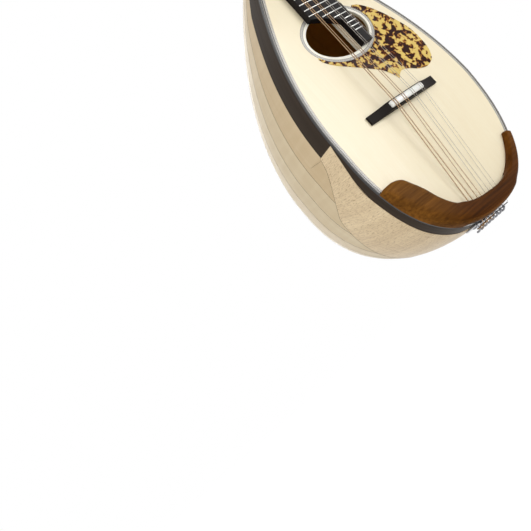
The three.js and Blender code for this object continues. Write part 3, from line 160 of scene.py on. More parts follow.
def lower_z(turn):
    """Height of the outline's lower half at a turn, from 0 at the widest place to 90 degrees at the tail."""
    return WIDEST_Z - LOWER_LENGTH * sin(turn) ** (2 / OUTLINE_ROUNDNESS)


def stations(upper=44, lower=34, last=0.9985):
    heights = [HEEL_Z - UPPER_LENGTH * i / upper for i in range(upper + 1)]
    return heights + [lower_z(pi / 2 * last * i / lower) for i in range(1, lower + 1)]


def first_place(low, high, holds):
    """The place in a range from which a test holds, found by halving."""
    for _ in range(40):
        middle = (low + high) / 2
        if holds(middle):
            high = middle
        else:
            low = middle
    return high


def mirrored(point):
    return Vector((-point.x, point.y, point.z))


# Lines and rings

def shares(count):
    return [i / count for i in range(count + 1)]


def around(count, extra=0):
    return [tau * i / count for i in range(count + extra)]


def sweep(start, end, count):
    return [radians(start + (end - start) * share) for share in shares(count)]


def shift(x, y, z):
    return Matrix.Translation((x, y, z))


def lengths_along(points):
    total = [0.0]
    for a, b in zip(points, points[1:]):
        total.append(total[-1] + (b - a).length)
    return total


def spline(points, count):
    """Points on a smooth line through the given ones."""
    last = len(points) - 1
    result = []
    for i in range(count + 1):
        at = last * i / count
        k = min(int(at), last - 1)
        t = at - k
        near = points[max(0, k - 1)], points[k], points[k + 1], points[min(last, k + 2)]
        result.append(tuple(
            0.5 * (2 * q + (r - p) * t + (2 * p - 5 * q + 4 * r - s) * t * t + (3 * q - p - 3 * r + s) * t**3)
            for p, q, r, s in zip(*near)
        ))
    return result


def smooth_value(points):
    """A function that reads the second number of each point at a place among the first ones."""
    places, values = zip(*spline(points, 24 * len(points)))
    return lambda at: float(np.interp(at, places, values))


def shell(rows, columns, point, outer, inner):
    """Rings round a closed skin between two insets, from a point for each row, column and inset."""
    return [
        [point(row, c, outer) for c in columns] + [point(row, c, inner) for c in reversed(columns)]
        for row in rows
    ]


def band(outer, inner, front, back):
    """Rings along a band in the soundboard, between two lines in X and Z."""
    return [
        [Vector((x, rim_drop_at(z) + y, z)) for (x, z), y in ((a, front), (b, front), (b, back), (a, back))]
        for a, b in zip(outer, inner)
    ]


def turned_rings(profile, sides=24):
    """Rings about Y, from pairs of radius and place along Y."""
    return [[Vector((radius * sin(a), y, radius * cos(a))) for a in around(sides)] for radius, y in profile]


def placed(rings, place):
    return [[place @ point for point in ring] for ring in rings]


def both_sides(half, middle=()):
    """A line of X and another number, its middle, and its mirror image from the middle back."""
    return [*half, *middle, *((-x, other) for x, other in reversed(half))]


def neighbours(items, i):
    return items[max(0, i - 1)], items[min(len(items) - 1, i + 1)]


def tube_rings(points, radii, sides=10):
    """Rings round a line of points, without twist."""
    rings = []
    side = None
    for i, point in enumerate(points):
        before, after = neighbours(points, i)
        tangent = (after - before).normalized()
        if side is None:
            side = Vector((1, 0, 0)) if abs(tangent.x) < 0.8 else Vector((0, 1, 0))
        side = (side - tangent * side.dot(tangent)).normalized()
        up = tangent.cross(side)
        radius = radii[i] if isinstance(radii, list) else radii
        rings.append([point + side * radius * cos(a) + up * radius * sin(a) for a in around(sides)])
    return rings


# Meshes and pieces

def new_object(name, data):
    made = bpy.data.objects.new(name, data)
    bpy.context.scene.collection.objects.link(made)
    return made


def fill_mesh(bm, mesh):
    bmesh.ops.recalc_face_normals(bm, faces=bm.faces)
    bm.to_mesh(mesh)
    bm.free()


def lofts(name, ring_lists, caps=True, tones=None):
    """Skins over lists of rings. UV holds the lengths along and round each skin, in metres."""
    points, faces, uvs, tone_values = [], [], [], []
    for index, rings in enumerate(ring_lists):
        start, count = len(points), len(rings[0])
        points += [p for ring in rings for p in ring]
        for low in range(start, len(points) - count, count):
            for j in range(count):
                k = (j + 1) % count
                faces.append((low + j, low + k, low + count + k, low + count + j))
        if caps:
            faces.append(tuple(reversed(range(start, start + count))))
            faces.append(tuple(range(len(points) - count, len(points))))
        columns = [lengths_along(line) for line in zip(*rings)]
        rows = [lengths_along(ring) for ring in rings]
        uvs += [(columns[j][i], rows[i][j]) for i in range(len(rings)) for j in range(count)]
        if tones:
            tone_values += tones[index] * ((len(points) - start) // len(tones[index]))
    mesh = bpy.data.meshes.new(name)
    mesh.from_pydata([tuple(p * MM) for p in points], [], faces)
    layer = mesh.uv_layers.new(name="along")
    flat = np.array([uvs[loop.vertex_index] for loop in mesh.loops], dtype=float) * MM
    layer.data.foreach_set("uv", flat.ravel())
    if tones:
        mesh.attributes.new("tone", "FLOAT", "POINT").data.foreach_set("value", tone_values)
    bm = bmesh.new()
    bm.from_mesh(mesh)
    fill_mesh(bm, mesh)
    return mesh


def prism(name, line, low, high, basis, bevel, holes=(), bend=False, place=None):
    """A plate from outlines in two axes, as thick as the third axis says, with rounded edges."""
    curve = bpy.data.curves.new(name + "_outline", "CURVE")
    curve.dimensions = "2D"
    curve.fill_mode = "BOTH"
    curve.extrude = ((high - low) / 2 - bevel) * MM
    curve.bevel_depth = bevel * MM
    curve.bevel_resolution = 2
    curve.offset = -bevel * MM
    for edge in [line, *holes]:
        poly = curve.splines.new("POLY")
        poly.points.add(len(edge) - 1)
        for point, (u, v) in zip(poly.points, edge):
            point.co = (u * MM, v * MM, 0, 1)
        poly.use_cyclic_u = True
    holder = new_object(name + "_outline", curve)
    depsgraph = bpy.context.evaluated_depsgraph_get()
    mesh = bpy.data.meshes.new_from_object(holder.evaluated_get(depsgraph))
    bpy.data.objects.remove(holder)
    mesh.transform(basis @ Matrix.Translation((0, 0, (low + high) / 2 * MM)))
    bm = bmesh.new()
    bm.from_mesh(mesh)
    bmesh.ops.remove_doubles(bm, verts=bm.verts, dist=1e-6)
    if bend:
        everything = [*bm.verts, *bm.edges, *bm.faces]
        bmesh.ops.bisect_plane(bm, geom=everything, plane_co=(0, 0, WIDEST_Z * MM), plane_no=(0, 0, 1))
        for vertex in bm.verts:
            vertex.co.y += rim_drop_at(vertex.co.z / MM) * MM
    fill_mesh(bm, mesh)
    if place:
        mesh.transform(Matrix.Scale(MM, 4) @ place @ Matrix.Scale(1 / MM, 4))
    return mesh


def finish_object(name, mesh, material, replaced=(), smooth=30, body=ROOT):
    """Put a mesh in the scene as a piece that rides a body."""
    mesh.validate()
    if smooth:
        mesh.shade_smooth()
        mesh.set_sharp_from_angle(angle=radians(smooth))
    mesh.materials.append(material)
    piece = new_object(name, mesh)
    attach(piece, body)
    if replaced:
        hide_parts(*replaced)


def skins(name, ring_lists, material, slot, replaced=(), smooth=30, body=ROOT, **options):
    finish_object(name, lofts(name, ring_lists, **options), material, replaced, smooth, body)


def plate(name, shape, material, slot, replaced=(), smooth=30, **options):
    """A piece from a prism's line, low, high, basis and bevel."""
    finish_object(name, prism(name, *shape, **options), material, replaced, smooth)


def axes(first, second, third):
    return Matrix((first, second, third)).transposed().to_4x4()


# Drawn in X and Z, thick along Y; drawn in Y and Z, thick along X; drawn in X and Y, thick along Z.
FACE_ON = axes((1, 0, 0), (0, 0, 1), (0, 1, 0))
SIDE_ON = axes((0, 1, 0), (0, 0, 1), (1, 0, 0))
END_ON = Matrix.Identity(4)


# Materials

def linear(color):
    """A screen colour in hex as the linear values that shaders take, with full alpha."""
    parts = [c / 255 for c in bytes.fromhex(color)]
    return [s / 12.92 if s <= 0.04045 else ((s + 0.055) / 1.055) ** 2.4 for s in parts] + [1]


SURFACE_INPUTS = {
    "color": "Base Color",
    "roughness": "Roughness",
    "metallic": "Metallic",
    "coat": "Coat Weight",
    "specular": "Specular IOR Level",
    "subsurface": "Subsurface Weight",
}


class Shader:
    """The nodes of a material or a world, made by short calls."""

    def __init__(self, name, owners=bpy.data.materials):
        self.owner = owners.new(name)
        self.owner.use_nodes = True
        self.nodes = self.owner.node_tree.nodes
        self.links = self.owner.node_tree.links
        self.bsdf = self.nodes.get("Principled BSDF")

    def give(self, socket, value):
        if isinstance(value, bpy.types.NodeSocket):
            self.links.new(value, socket)
        else:
            socket.default_value = linear(value) if isinstance(value, str) else value

    def add(self, kind, inputs=None, **settings):
        node = self.nodes.new("ShaderNode" + kind)
        for key, value in settings.items():
            setattr(node, key, value)
        for key, value in (inputs or {}).items():
            self.give(node.inputs[key], value)
        return node

    def place(self, scale, source="Object", rotation=(0, 0, 0)):
        """Coordinates of a source, times one scale or a scale for each axis."""
        scale = (scale,) * 3 if isinstance(scale, (int, float)) else scale
        where = self.add("TexCoord").outputs[source]
        return self.add("Mapping", {"Vector": where, "Scale": scale, "Rotation": rotation}).outputs["Vector"]

    def noise(self, where, scale=1.0, detail=3.0, roughness=0.5, distortion=0.0):
        """Noise at some coordinates, or at the object's own times a number."""
        vector = self.place(where) if isinstance(where, (int, float)) else where
        values = {"Scale": scale, "Detail": detail, "Roughness": roughness, "Distortion": distortion}
        return self.add("TexNoise", {"Vector": vector, **values}).outputs["Fac"]

    def ramp(self, value, stops):
        node = self.add("ValToRGB", {"Fac": value})
        elements = node.color_ramp.elements
        while len(elements) < len(stops):
            elements.new(0.5)
        for element, (place, color) in zip(elements, stops):
            element.position = place
            element.color = linear(color) if isinstance(color, str) else (color, color, color, 1)
        return node.outputs["Color"]

    def mask(self, value, low, high):
        return self.ramp(value, [(low, 0.0), (high, 1.0)])

    def math(self, operation, a, b=0.0):
        return self.add("Math", {0: a, 1: b}, operation=operation).outputs[0]

    def scaled(self, value, amount, base):
        return self.math("ADD", self.math("MULTIPLY", value, amount), base)

    def mix(self, factor, a, b, blend="MIX"):
        return self.add("Mix", {0: factor, 6: a, 7: b}, data_type="RGBA", blend_type=blend).outputs[2]

    def cover(self, color, tint, mask, amount):
        """A colour with a tint over it, by an amount where a mask says."""
        return self.mix(self.math("MULTIPLY", mask, amount), color, tint)

    def split_uv(self):
        return self.add("SeparateXYZ", {0: self.add("TexCoord").outputs["UV"]}).outputs

    def show(self, usual, seen, output):
        """Give an output one shader, and another for rays from the camera, mirrors and glass."""
        rays = self.add("LightPath").outputs
        direct = self.math("MAXIMUM", rays["Is Camera Ray"], rays["Is Glossy Ray"])
        direct = self.math("MAXIMUM", direct, rays["Is Transmission Ray"])
        blend = self.add("MixShader", {0: direct, 1: usual.outputs[0], 2: seen.outputs[0]})
        self.links.new(blend.outputs[0], self.nodes[output].inputs["Surface"])

    def set(self, **values):
        for key, value in values.items():
            self.give(self.bsdf.inputs[SURFACE_INPUTS[key]], value)

    def finish(self, height, strength, distance=0.05, **values):
        """Set the surface and its bump, and return the material."""
        self.set(**values)
        if "coat" in values:
            self.bsdf.inputs["Coat Roughness"].default_value = 0.1
        node = self.add("Bump", {"Height": height, "Strength": strength, "Distance": distance * MM})
        self.links.new(node.outputs["Normal"], self.bsdf.inputs["Normal"])
        return self.owner


def wood(name, light, dark, source="Object", along=2, fine=0.3, broad=0.4, figure=0.0, flame=75.0,
         roughness=0.3, coat=0.4, grain=700.0, toned=None, specular=0.35, inside=None, flecks=0.0):
    """Fine grain lines along one axis, broad tone changes, and a cross figure where the wood has one."""
    shader = Shader(name)

    def stretched(lengthwise, crosswise):
        return shader.place([lengthwise if axis == along else crosswise for axis in range(3)], source)

    lines = shader.noise(stretched(9.0, grain), detail=4, roughness=0.65)
    patches = shader.noise(stretched(3.0, grain / 11), detail=3, distortion=0.3)
    streak = shader.mask(lines, 0.34, 0.7)
    color = shader.cover(light, dark, shader.mask(patches, 0.32, 0.7), broad)
    color = shader.cover(color, dark, streak, fine)
    if figure:
        bands = shader.noise(stretched(flame, flame / 8), detail=2, roughness=0.45, distortion=0.6)
        color = shader.cover(color, dark, shader.mask(bands, 0.4, 0.62), figure)
    if flecks:
        marks = shader.noise(shader.place((260, 1500, 1500), source, (0, 0, 0.3)), detail=2, roughness=0.6)
        color = shader.cover(color, dark, shader.mask(marks, 0.55, 0.66), flecks)
    if toned:
        tone = shader.add("Attribute", attribute_name="tone").outputs["Fac"]
        color = shader.mix(shader.math("MAXIMUM", tone, 0.0), color, toned, "MULTIPLY")
        if inside:
            color = shader.mix(shader.math("LESS_THAN", tone, -0.5), color, inside)
    return shader.finish(lines, 0.12, color=color, roughness=shader.scaled(streak, 0.1, roughness), coat=coat,
                         specular=specular)


def metal(name, color, dark, roughness=0.15, scale=90.0):
    shader = Shader(name)
    haze = shader.noise(scale, detail=4, roughness=0.6)
    smudge = shader.mask(haze, 0.35, 0.75)
    return shader.finish(haze, 0.06, color=shader.cover(color, dark, smudge, 0.35), metallic=1.0,
                         roughness=shader.scaled(smudge, 0.12, roughness))


def cast(name, color, dark, roughness=0.25, scale=60.0, coat=0.3, subsurface=0.0, specular=0.4):
    """An even material with faint clouds in it, such as bone, plastic or ebony."""
    shader = Shader(name)
    clouds = shader.noise(scale, detail=4)
    speck = shader.noise(scale * 14, detail=2)
    return shader.finish(speck, 0.05, color=shader.cover(color, dark, clouds, 0.4), subsurface=subsurface,
                         roughness=shader.scaled(speck, 0.1, roughness), coat=coat, specular=specular)


def inlay(name, base, dash, period, width, slant, lines):
    """Slanted dashes along a band, with thin lines lengthwise at the given places across it."""
    shader = Shader(name)
    uv = shader.split_uv()
    along = shader.math("MULTIPLY", uv[0], 1 / MM / period)
    across = shader.math("MULTIPLY", uv[1], 1 / MM / width)
    wobble = shader.noise(900, detail=1)
    phase = shader.math("ADD", along, shader.math("MULTIPLY", across, slant))
    phase = shader.math("FRACT", shader.math("ADD", phase, shader.math("MULTIPLY", wobble, 0.25)))
    stripes = shader.ramp(phase, [(0.0, 0.0), (0.12, 1.0), (0.46, 1.0), (0.58, 0.0)])
    color = shader.cover(base, dash, stripes, 0.75)
    color = shader.cover(color, dash, shader.noise(300, detail=2), 0.3)
    for low, high, tint in lines:
        near = shader.math("ABSOLUTE", shader.math("SUBTRACT", across, (low + high) / 2))
        color = shader.mix(shader.math("LESS_THAN", near, (high - low) / 2), color, tint)
    return shader.finish(wobble, 0.05, color=color, roughness=0.3, coat=0.4)


def tortoise_shell():
    shader = Shader("tortoise_shell")
    warp = shader.noise(70, detail=1)
    turned = shader.place((120, 120, 150), rotation=(0, 0.5, 0))
    place = shader.add("VectorMath", {0: turned, 1: warp}, operation="ADD").outputs[0]
    blotch = shader.noise(place, scale=1.5, detail=1.5, roughness=0.6, distortion=0.1)
    color = shader.ramp(blotch, [
        (0.0, "eed47a"), (0.45, "e6c870"), (0.5, "a86826"), (0.535, "481a08"),
        (0.6, "2c0e06"), (1.0, "1c0905"),
    ])
    return shader.finish(blotch, 0.03, color=color, roughness=0.2, specular=0.06)


def wound_wire(name, color, dark, pitch):
    shader = Shader(name)
    turns = shader.math("FRACT", shader.math("MULTIPLY", shader.split_uv()[0], 1 / MM / pitch))
    # The grooves between the turns are painted darker, painted shade, and the same ridge bumps the surface.
    ridge = shader.ramp(turns, [(0.0, 0.0), (0.5, 1.0), (1.0, 0.0)])
    return shader.finish(ridge, 0.5, 0.1, color=shader.mix(ridge, dark, color), metallic=1.0, roughness=0.32)


SPRUCE = wood("spruce_top", "fcf0d0", "f0ddb3", broad=0.25, grain=820, roughness=0.34)
RIB_MAPLE = wood("rib_maple", "e9d8b6", "ccb286", "UV", 0, fine=0.22, figure=0.16, flame=110,
                 roughness=0.36, coat=0.1, grain=420, toned="e4d2bc", specular=0.15,
                 inside="ce8c34")
CLASP_MAPLE = wood("clasp_maple", "fce6be", "9c764a", "UV", 0, fine=0.26, broad=0.24, figure=0.08,
                   flame=260, roughness=0.34, grain=900, specular=0.2, coat=0.1, flecks=0.6)
NECK_MAPLE = wood("neck_maple", "f3e1ba", "d4b888", fine=0.25, figure=0.14, grain=260)
RAW_WOOD = wood("raw_wood", "e2cea6", "c4a87c", fine=0.4, roughness=0.6, coat=0.0, grain=300)
STRIP_WOOD = wood("strip_wood", "3a2e22", "201811", "UV", 0, fine=0.5, roughness=0.4, coat=0.0,
                  grain=500, specular=0.12)
ARM_WOOD = wood("armrest_wood", "946024", "281204", along=0, fine=0.62, broad=0.5, roughness=0.42,
                coat=0.0, grain=430, toned="bea87a", specular=0.04)
# A paler copy of the raw wood for the support, painted light that makes up for the shade inside the sound hole.
LIT_RAW_WOOD = wood("lit_raw_wood", "fff8e4", "f4e6c8", broad=0.3, roughness=0.6, coat=0.0, grain=300)
EBONY = cast("ebony_wood", "1e1a19", "0e0c0c", 0.42, coat=0.0, specular=0.12)
BRIDGE_WOOD = cast("bridge_ebony", "201b18", "100d0b", 0.5, coat=0.0, specular=0.08)
BONE = cast("bone_white", "fefcf6", "f0ece2", 0.22, subsurface=0.05)
IVORY = cast("ivory_button", "fdfbec", "eee6cc", 0.2, coat=0.5, subsurface=0.08)
SEAM = cast("seam_dark", "6c5436", "46321e", 0.4, 200)
WHITE_RING = cast("white_inlay", "fffcee", "f0e6ce", 0.28, 120)
CHROME = metal("bright_chrome", "dee0e2", "96989c", 0.1)
# The tailpiece and hooks take a darker chrome, painted shade and dark reflections that let them read against
# the white.
HOOK_CHROME = metal("darkened_chrome", "96969a", "383638", 0.16, 400)
STEEL = metal("plain_steel", "9e988e", "68645e", 0.38)
DARK_STEEL = metal("dark_steel", "78787c", "28282a", 0.3)
FRET_METAL = metal("fret_metal", "e2e2de", "a8a8a4", 0.2)
BRASS = metal("olive_brass", "beb684", "78704a", 0.28)
# Dark metal for the screws' slots, which are painted shade, and for the black caps on the gears.
DARK_METAL = metal("slot_shade_and_black_cap", "28282a", "121214", 0.3)
PURFLING = inlay("rope_purfling", "cec8bc", "544e48", 1.5, 2.6, 0.9,
                 [(0.0, 0.14, "3c3630"), (0.14, 0.24, "ded6c8"), (0.86, 1.0, "c4baa8")])
ROSETTE_ROPE = inlay("rope_rosette", "dad6cc", "6a645e", 1.6, 2.9, 0.9,
                     [(0.0, 0.12, "46403a"), (0.88, 1.0, "5a544c")])
# The pale line along the dark binding is a painted highlight, standing for the shine on the binding's rounded
# edge.
BINDING = inlay("edge_binding", "1a1614", "14110f", 9.0, 2.0, 0.0, [(0.38, 0.5, "bcb2a0")])
TORTOISE = tortoise_shell()
COPPER_WOUND = wound_wire("copper_winding", "be9e7a", "624a34", 0.34)


# Bowl: ribs with fine dark seams between them

def rib_point(rib, z, across, inset):
    """On the rib: mostly flat between its seams, a little rounded."""
    roundness = 0.35
    first, second = rib_angle(z, rib), rib_angle(z, rib + 1)
    flat = inset_point(z, first, inset).lerp(inset_point(z, second, inset), across)
    return flat.lerp(inset_point(z, first + (second - first) * across, inset), roundness)


BOWL_STATIONS = stations()
RIB_COLUMNS = [0, 0.2, 0.5, 0.8, 1]
WALL = 2.3
OUTER_RIB_TONE = 0.4
INNER_RIB_TONE = 0.12
INSIDE_TONE = -1.0
rib_lists, rib_tones = [], []
for rib in range(RIB_COUNT):
    rib_lists.append(shell(BOWL_STATIONS, RIB_COLUMNS, functools.partial(rib_point, rib), 0, WALL))
    tone = OUTER_RIB_TONE if rib in (0, RIB_COUNT - 1) else INNER_RIB_TONE * (0.5 + 0.5 * sin(2.4 * rib))
    rib_tones.append([tone] * len(RIB_COLUMNS) + [INSIDE_TONE] * len(RIB_COLUMNS))
skins("ribs", rib_lists, RIB_MAPLE, "ribs", ("bowl_ribs",), tones=rib_tones)


def seam_rings(places, width, proud):
    """A thin strip along a line on the bowl, given as pairs of height and angle."""
    sunk = 0.3
    rings = []
    for i, (z, angle) in enumerate(places):
        before, after = neighbours(places, i)
        along = (bowl_point(*after) - bowl_point(*before)).normalized()
        normal = bowl_normal(z, angle)
        side = normal.cross(along).normalized() * width / 2
        point = bowl_point(z, angle)
        rings.append([
            point - side + normal * proud, point + side + normal * proud,
            point + side - normal * sunk, point - side - normal * sunk,
        ])
    return rings


seams = [
    seam_rings([(z, rib_angle(z, k)) for z in BOWL_STATIONS[:-3]], 0.42, 0.04) for k in range(RIB_COUNT + 1)
]
# The short joint in the outer rib above each end of the clasp
joint_line = [(z, angle_at_depth(z, 22 + 4.4 * (z - BRIDGE_Z))) for z in (BRIDGE_Z + 0.5 * k for k in range(9))]
for line in (joint_line, [(z, pi - angle) for z, angle in joint_line]):
    seams.append(seam_rings(line, 0.16, 0.02))
skins("rib_seams", seams, SEAM, "dark_binding", smooth=40)

# Dark side strips
RIM_SEAT = BOARD_THICKNESS + 0.1
STRIP_PROUD = 0.1
STRIP_STEPS = 5


def strip_point(z, step, inset):
    """On the bass strip, from the rim to the first rib."""
    seam = seam_angle_at(z)
    rim = min(angle_at_depth(z, RIM_SEAT), seam * 0.9)
    return inset_point(z, rim + (seam - rim) * step / STRIP_STEPS, inset)


bass_strip = shell(BOWL_STATIONS, range(STRIP_STEPS + 1), strip_point, -STRIP_PROUD, WALL)
treble_strip = [[mirrored(p) for p in ring] for ring in bass_strip]
for word, rings in (("bass", bass_strip), ("treble", treble_strip)):
    skins("strip_" + word, [rings], STRIP_WOOD, "dark_strip", ("side_strip_" + word,), 35)

# End clasp over the tails of the ribs
CLASP_FRONT = BRIDGE_Z + 2
CLASP_PROUD = 0.35
CLASP_COLUMNS = range(-44, 45)
CLASP_ROWS = shares(30)
clasp_upper = smooth_value([
    (-TAIL_BEHIND_BRIDGE, 14), (-100, 13), (-80, 11.5), (-59, 11), (-43, 11.5), (-29, 9), (-14, 6), (2, 3.2)
])
clasp_lower = smooth_value([
    (-TAIL_BEHIND_BRIDGE, 78), (-110, 77), (-80, 73), (-46, 61), (-39, 55), (-31, 46), (-19, 34), (-8, 26),
    (2, 22)
])


def clasp_depth(z, across):
    place = z - BRIDGE_Z
    return clasp_upper(place) * (1 - across) + clasp_lower(place) * across


@functools.cache
def clasp_end(across):
    return first_place(TAIL_Z, CLASP_FRONT, lambda z: depth_at(z) >= clasp_depth(z, across))


def clasp_point(across, column, inset):
    """On the clasp, in columns from its bass end round the tail to its treble end."""
    end = clasp_end(across)
    turn = pi / 2 * abs(column) / CLASP_COLUMNS[-1]
    z = end + (CLASP_FRONT - end) * (1 - cos(turn))
    point = inset_point(z, angle_at_depth(z, clasp_depth(z, across)), inset)
    return mirrored(point) if column > 0 else point


skins("clasp", [shell(CLASP_ROWS, CLASP_COLUMNS, clasp_point, -CLASP_PROUD, 0.4)], CLASP_MAPLE, "clasp",
      ("end_clasp",), 35)
clasp_edge = [
    tube_rings([clasp_point(across, column, -CLASP_PROUD) for across in CLASP_ROWS], 0.12, 6)
    for column in (CLASP_COLUMNS[0], CLASP_COLUMNS[-1])
]
clasp_edge.append(tube_rings([clasp_point(1, column, -CLASP_PROUD) for column in CLASP_COLUMNS], 0.14, 6))
skins("clasp_seam", clasp_edge, SEAM, "dark_binding", smooth=40)


# Soundboard, with its edge

def outline(inset):
    """Pairs of X and Z from the bass heel round the tail to the treble heel."""
    line = both_sides([(-half_width_at(z), z) for z in stations(60, 60, 1.0)[:-1]], [(0.0, TAIL_Z)])
    moved = []
    for i, (x, z) in enumerate(line):
        (ax, az), (bx, bz) = neighbours(line, i)
        length = hypot(bx - ax, bz - az)
        moved.append((x - (bz - az) / length * inset, z + (bx - ax) / length * inset))
    return moved


def hole_line(grow, angles):
    return [
        ((HOLE_HALF_WIDTH + grow) * cos(a), HOLE_Z + (HOLE_HALF_HEIGHT + grow) * sin(a)) for a in angles
    ]


def hole_band(inner, outer, front, back):
    angles = around(160, 1)
    return [band(hole_line(outer, angles), hole_line(inner, angles), front, back)]


ROPE_OUTER = 5.6
ROPE_INNER = 2.7
INLAY_DEPTH = 1.2
BINDING_WIDTH = 2
PURFLING_INNER = 4.7
SLIT = 0.03
top_shape = (outline(PURFLING_INNER + SLIT), 0, BOARD_THICKNESS, FACE_ON, 0.0)
top_hole = hole_line(ROPE_OUTER + SLIT, around(120))
plate("top", top_shape, SPRUCE, "spruce", ("soundboard",), 20, holes=[top_hole], bend=True)
skins("edge_dark", [band(outline(0), outline(BINDING_WIDTH), -0.02, BOARD_THICKNESS)], BINDING, "dark_binding",
      ("binding",))
skins("edge_rope", [band(outline(BINDING_WIDTH + SLIT), outline(PURFLING_INNER), -0.01, BOARD_THICKNESS)],
      PURFLING, "purfling", ("purfling",))
skins("hole_rope", hole_band(ROPE_INNER + 0.02, ROPE_OUTER, -0.01, INLAY_DEPTH), ROSETTE_ROPE, "rosette",
      ("rosette",), caps=False)
skins("hole_white", hole_band(0, ROPE_INNER, -0.05, INLAY_DEPTH), WHITE_RING, "rosette", caps=False)
skins("hole_lining", hole_band(0.1, ROPE_OUTER, INLAY_DEPTH, BOARD_THICKNESS), SPRUCE, "spruce", caps=False)

# Braces and the support under the fingerboard's end
EXTENSION_CENTRE = 16.2
EXTENSION_HALF = 6.4
BRACE_HEIGHT = 11
for number, above in enumerate((114, 50, -4)):
    z = BRIDGE_Z + above
    reach = half_width_at(z) - 9
    low = BOARD_THICKNESS - 0.1
    shape = both_sides([(-reach, low), (-reach + BRACE_HEIGHT, BRACE_HEIGHT)])
    plate(f"brace_{number}", (shape, z - 3, z + 3, END_ON, 0.5), RAW_WOOD, "spruce")
# The support takes the paler wood, painted light against the shade inside the hole.
support = [(EXTENSION_CENTRE + x, y) for x, y in ((-5.3, 0.4), (5.3, 0.4), (5.3, 7.2), (-5.3, 7.2))]
plate("support", (support, BRIDGE_Z + 51, BRIDGE_Z + 113, END_ON, 0.3), LIT_RAW_WOOD, "spruce")

# Tortoise plate
GUARD_CLEARANCE = ROPE_OUTER + 0.25
guard_lower = [(-42, 68.2), (-39.3, 63.5), (-32, 57.1), (-21.8, 50.9), (-7.7, 42.7), (0, 37.8), (8.8, 32.1),
               (15.5, 24.4), (18.7, 17.7)]
guard_lobe = [(18.7, 17.7), (24, 21.3), (29.9, 22.7), (39.2, 20), (47.1, 16), (58.6, 13.5), (68.2, 15.9),
              (72.5, 19.2), (76.8, 26.5), (78.6, 37), (77.7, 50.4), (73.5, 61.2), (65.3, 75.6), (61.7, 80.3),
              (55.4, 88.1), (46.4, 95.4), (39.1, 97.8)]
guard_line = [(x, BRIDGE_Z + y) for x, y in spline(guard_lower, 60) + spline(guard_lobe, 110)[1:]]
guard_line += hole_line(GUARD_CLEARANCE, sweep(33, -157, 72))
plate("guard", (guard_line, -0.6, -0.01, FACE_ON, 0.15), TORTOISE, "tortoise", ("pickguard",))

# Fingerboard, frets and dots
BOARD_END = BRIDGE_Z + 101
EXTENSION_END = BRIDGE_Z + 59.6
EXTENSION_LEFT = EXTENSION_CENTRE - EXTENSION_HALF
EXTENSION_RIGHT = EXTENSION_CENTRE + EXTENSION_HALF


def board_half_width(z):
    return (NUT_WIDTH + (HEEL_WIDTH - NUT_WIDTH) * z / HEEL_Z) / 2


top_half, end_half = board_half_width(-GAP), board_half_width(BOARD_END)
slant_line = spline([
    (-end_half + (EXTENSION_LEFT + end_half) * a, BOARD_END - 101 * 0.143 * b)
    for a, b in ((0, 0), (0.4, 0.28), (0.74, 0.66), (1, 1))
], 16)
board_line = [
    (top_half, -GAP), (-top_half, -GAP), *slant_line, (EXTENSION_LEFT, EXTENSION_END),
    (EXTENSION_RIGHT, EXTENSION_END), (EXTENSION_RIGHT, BOARD_END + 0.5),
    (end_half, BOARD_END + EXTENSION_RIGHT - end_half + 1.1),
]
plate("fretboard", (board_line, -BOARD_TOP, -0.02, FACE_ON, 0.25), EBONY, "ebony", ("fingerboard",))


def fret_z(number):
    return -SCALE_LENGTH * (1 - 2 ** (-number / 12))


def board_left(z):
    if z >= BOARD_END:
        return -board_half_width(z)
    x_line, z_line = zip(*reversed(slant_line))
    return float(np.interp(z, z_line, x_line))


FRET_SECTION = [(0.55, 0.0), (0.5, 0.45), (0.28, 0.8), (0, 0.92), (-0.28, 0.8), (-0.5, 0.45), (-0.55, 0.0)]
fret_ends = {21: (-8.5, 20), 22: (1.8, 20), 23: (11.4, 22), 24: (9.6, 22.3), 25: (10, 22.3), 26: (11.2, 22.3)}
fret_lists = []
for number in range(1, FRET_COUNT + 1):
    z = fret_z(number)
    left, right = fret_ends.get(number, (board_left(z) + 0.5, board_half_width(z) - 0.5))
    sizes = [(left + x, size) for x, size in ((0, 0.3), (0.15, 0.8), (0.5, 1))]
    sizes += [(right - x, size) for x, size in ((0.5, 1), (0.15, 0.8), (0, 0.3))]
    fret_lists.append([
        [Vector((x, -BOARD_TOP + 0.1 - h * size, z + w)) for w, h in FRET_SECTION] for x, size in sizes
    ])
skins("frets", fret_lists, FRET_METAL, "plain_string", smooth=50)
dot_lists = []
for number in (5, 7, 10, 12, 15):
    z = (fret_z(number) + fret_z(number - 1)) / 2
    for x in (-6, 6) if number == 12 else (0,):
        place = shift(x, -BOARD_TOP - 0.03, z)
        dot_lists.append(placed(turned_rings([(0.05, 0), (2.2, 0), (2.2, 0.6), (0.05, 0.6)]), place))
    place = shift(-board_half_width(z) - 0.02, -4.2, z) @ Matrix.Rotation(pi / 2, 4, "Z")
    dot_lists.append(placed(turned_rings([(0.05, 0), (0.9, 0), (0.9, -0.8), (0.05, -0.8)], 16), place))
skins("dots", dot_lists, WHITE_RING, "bone", smooth=40)

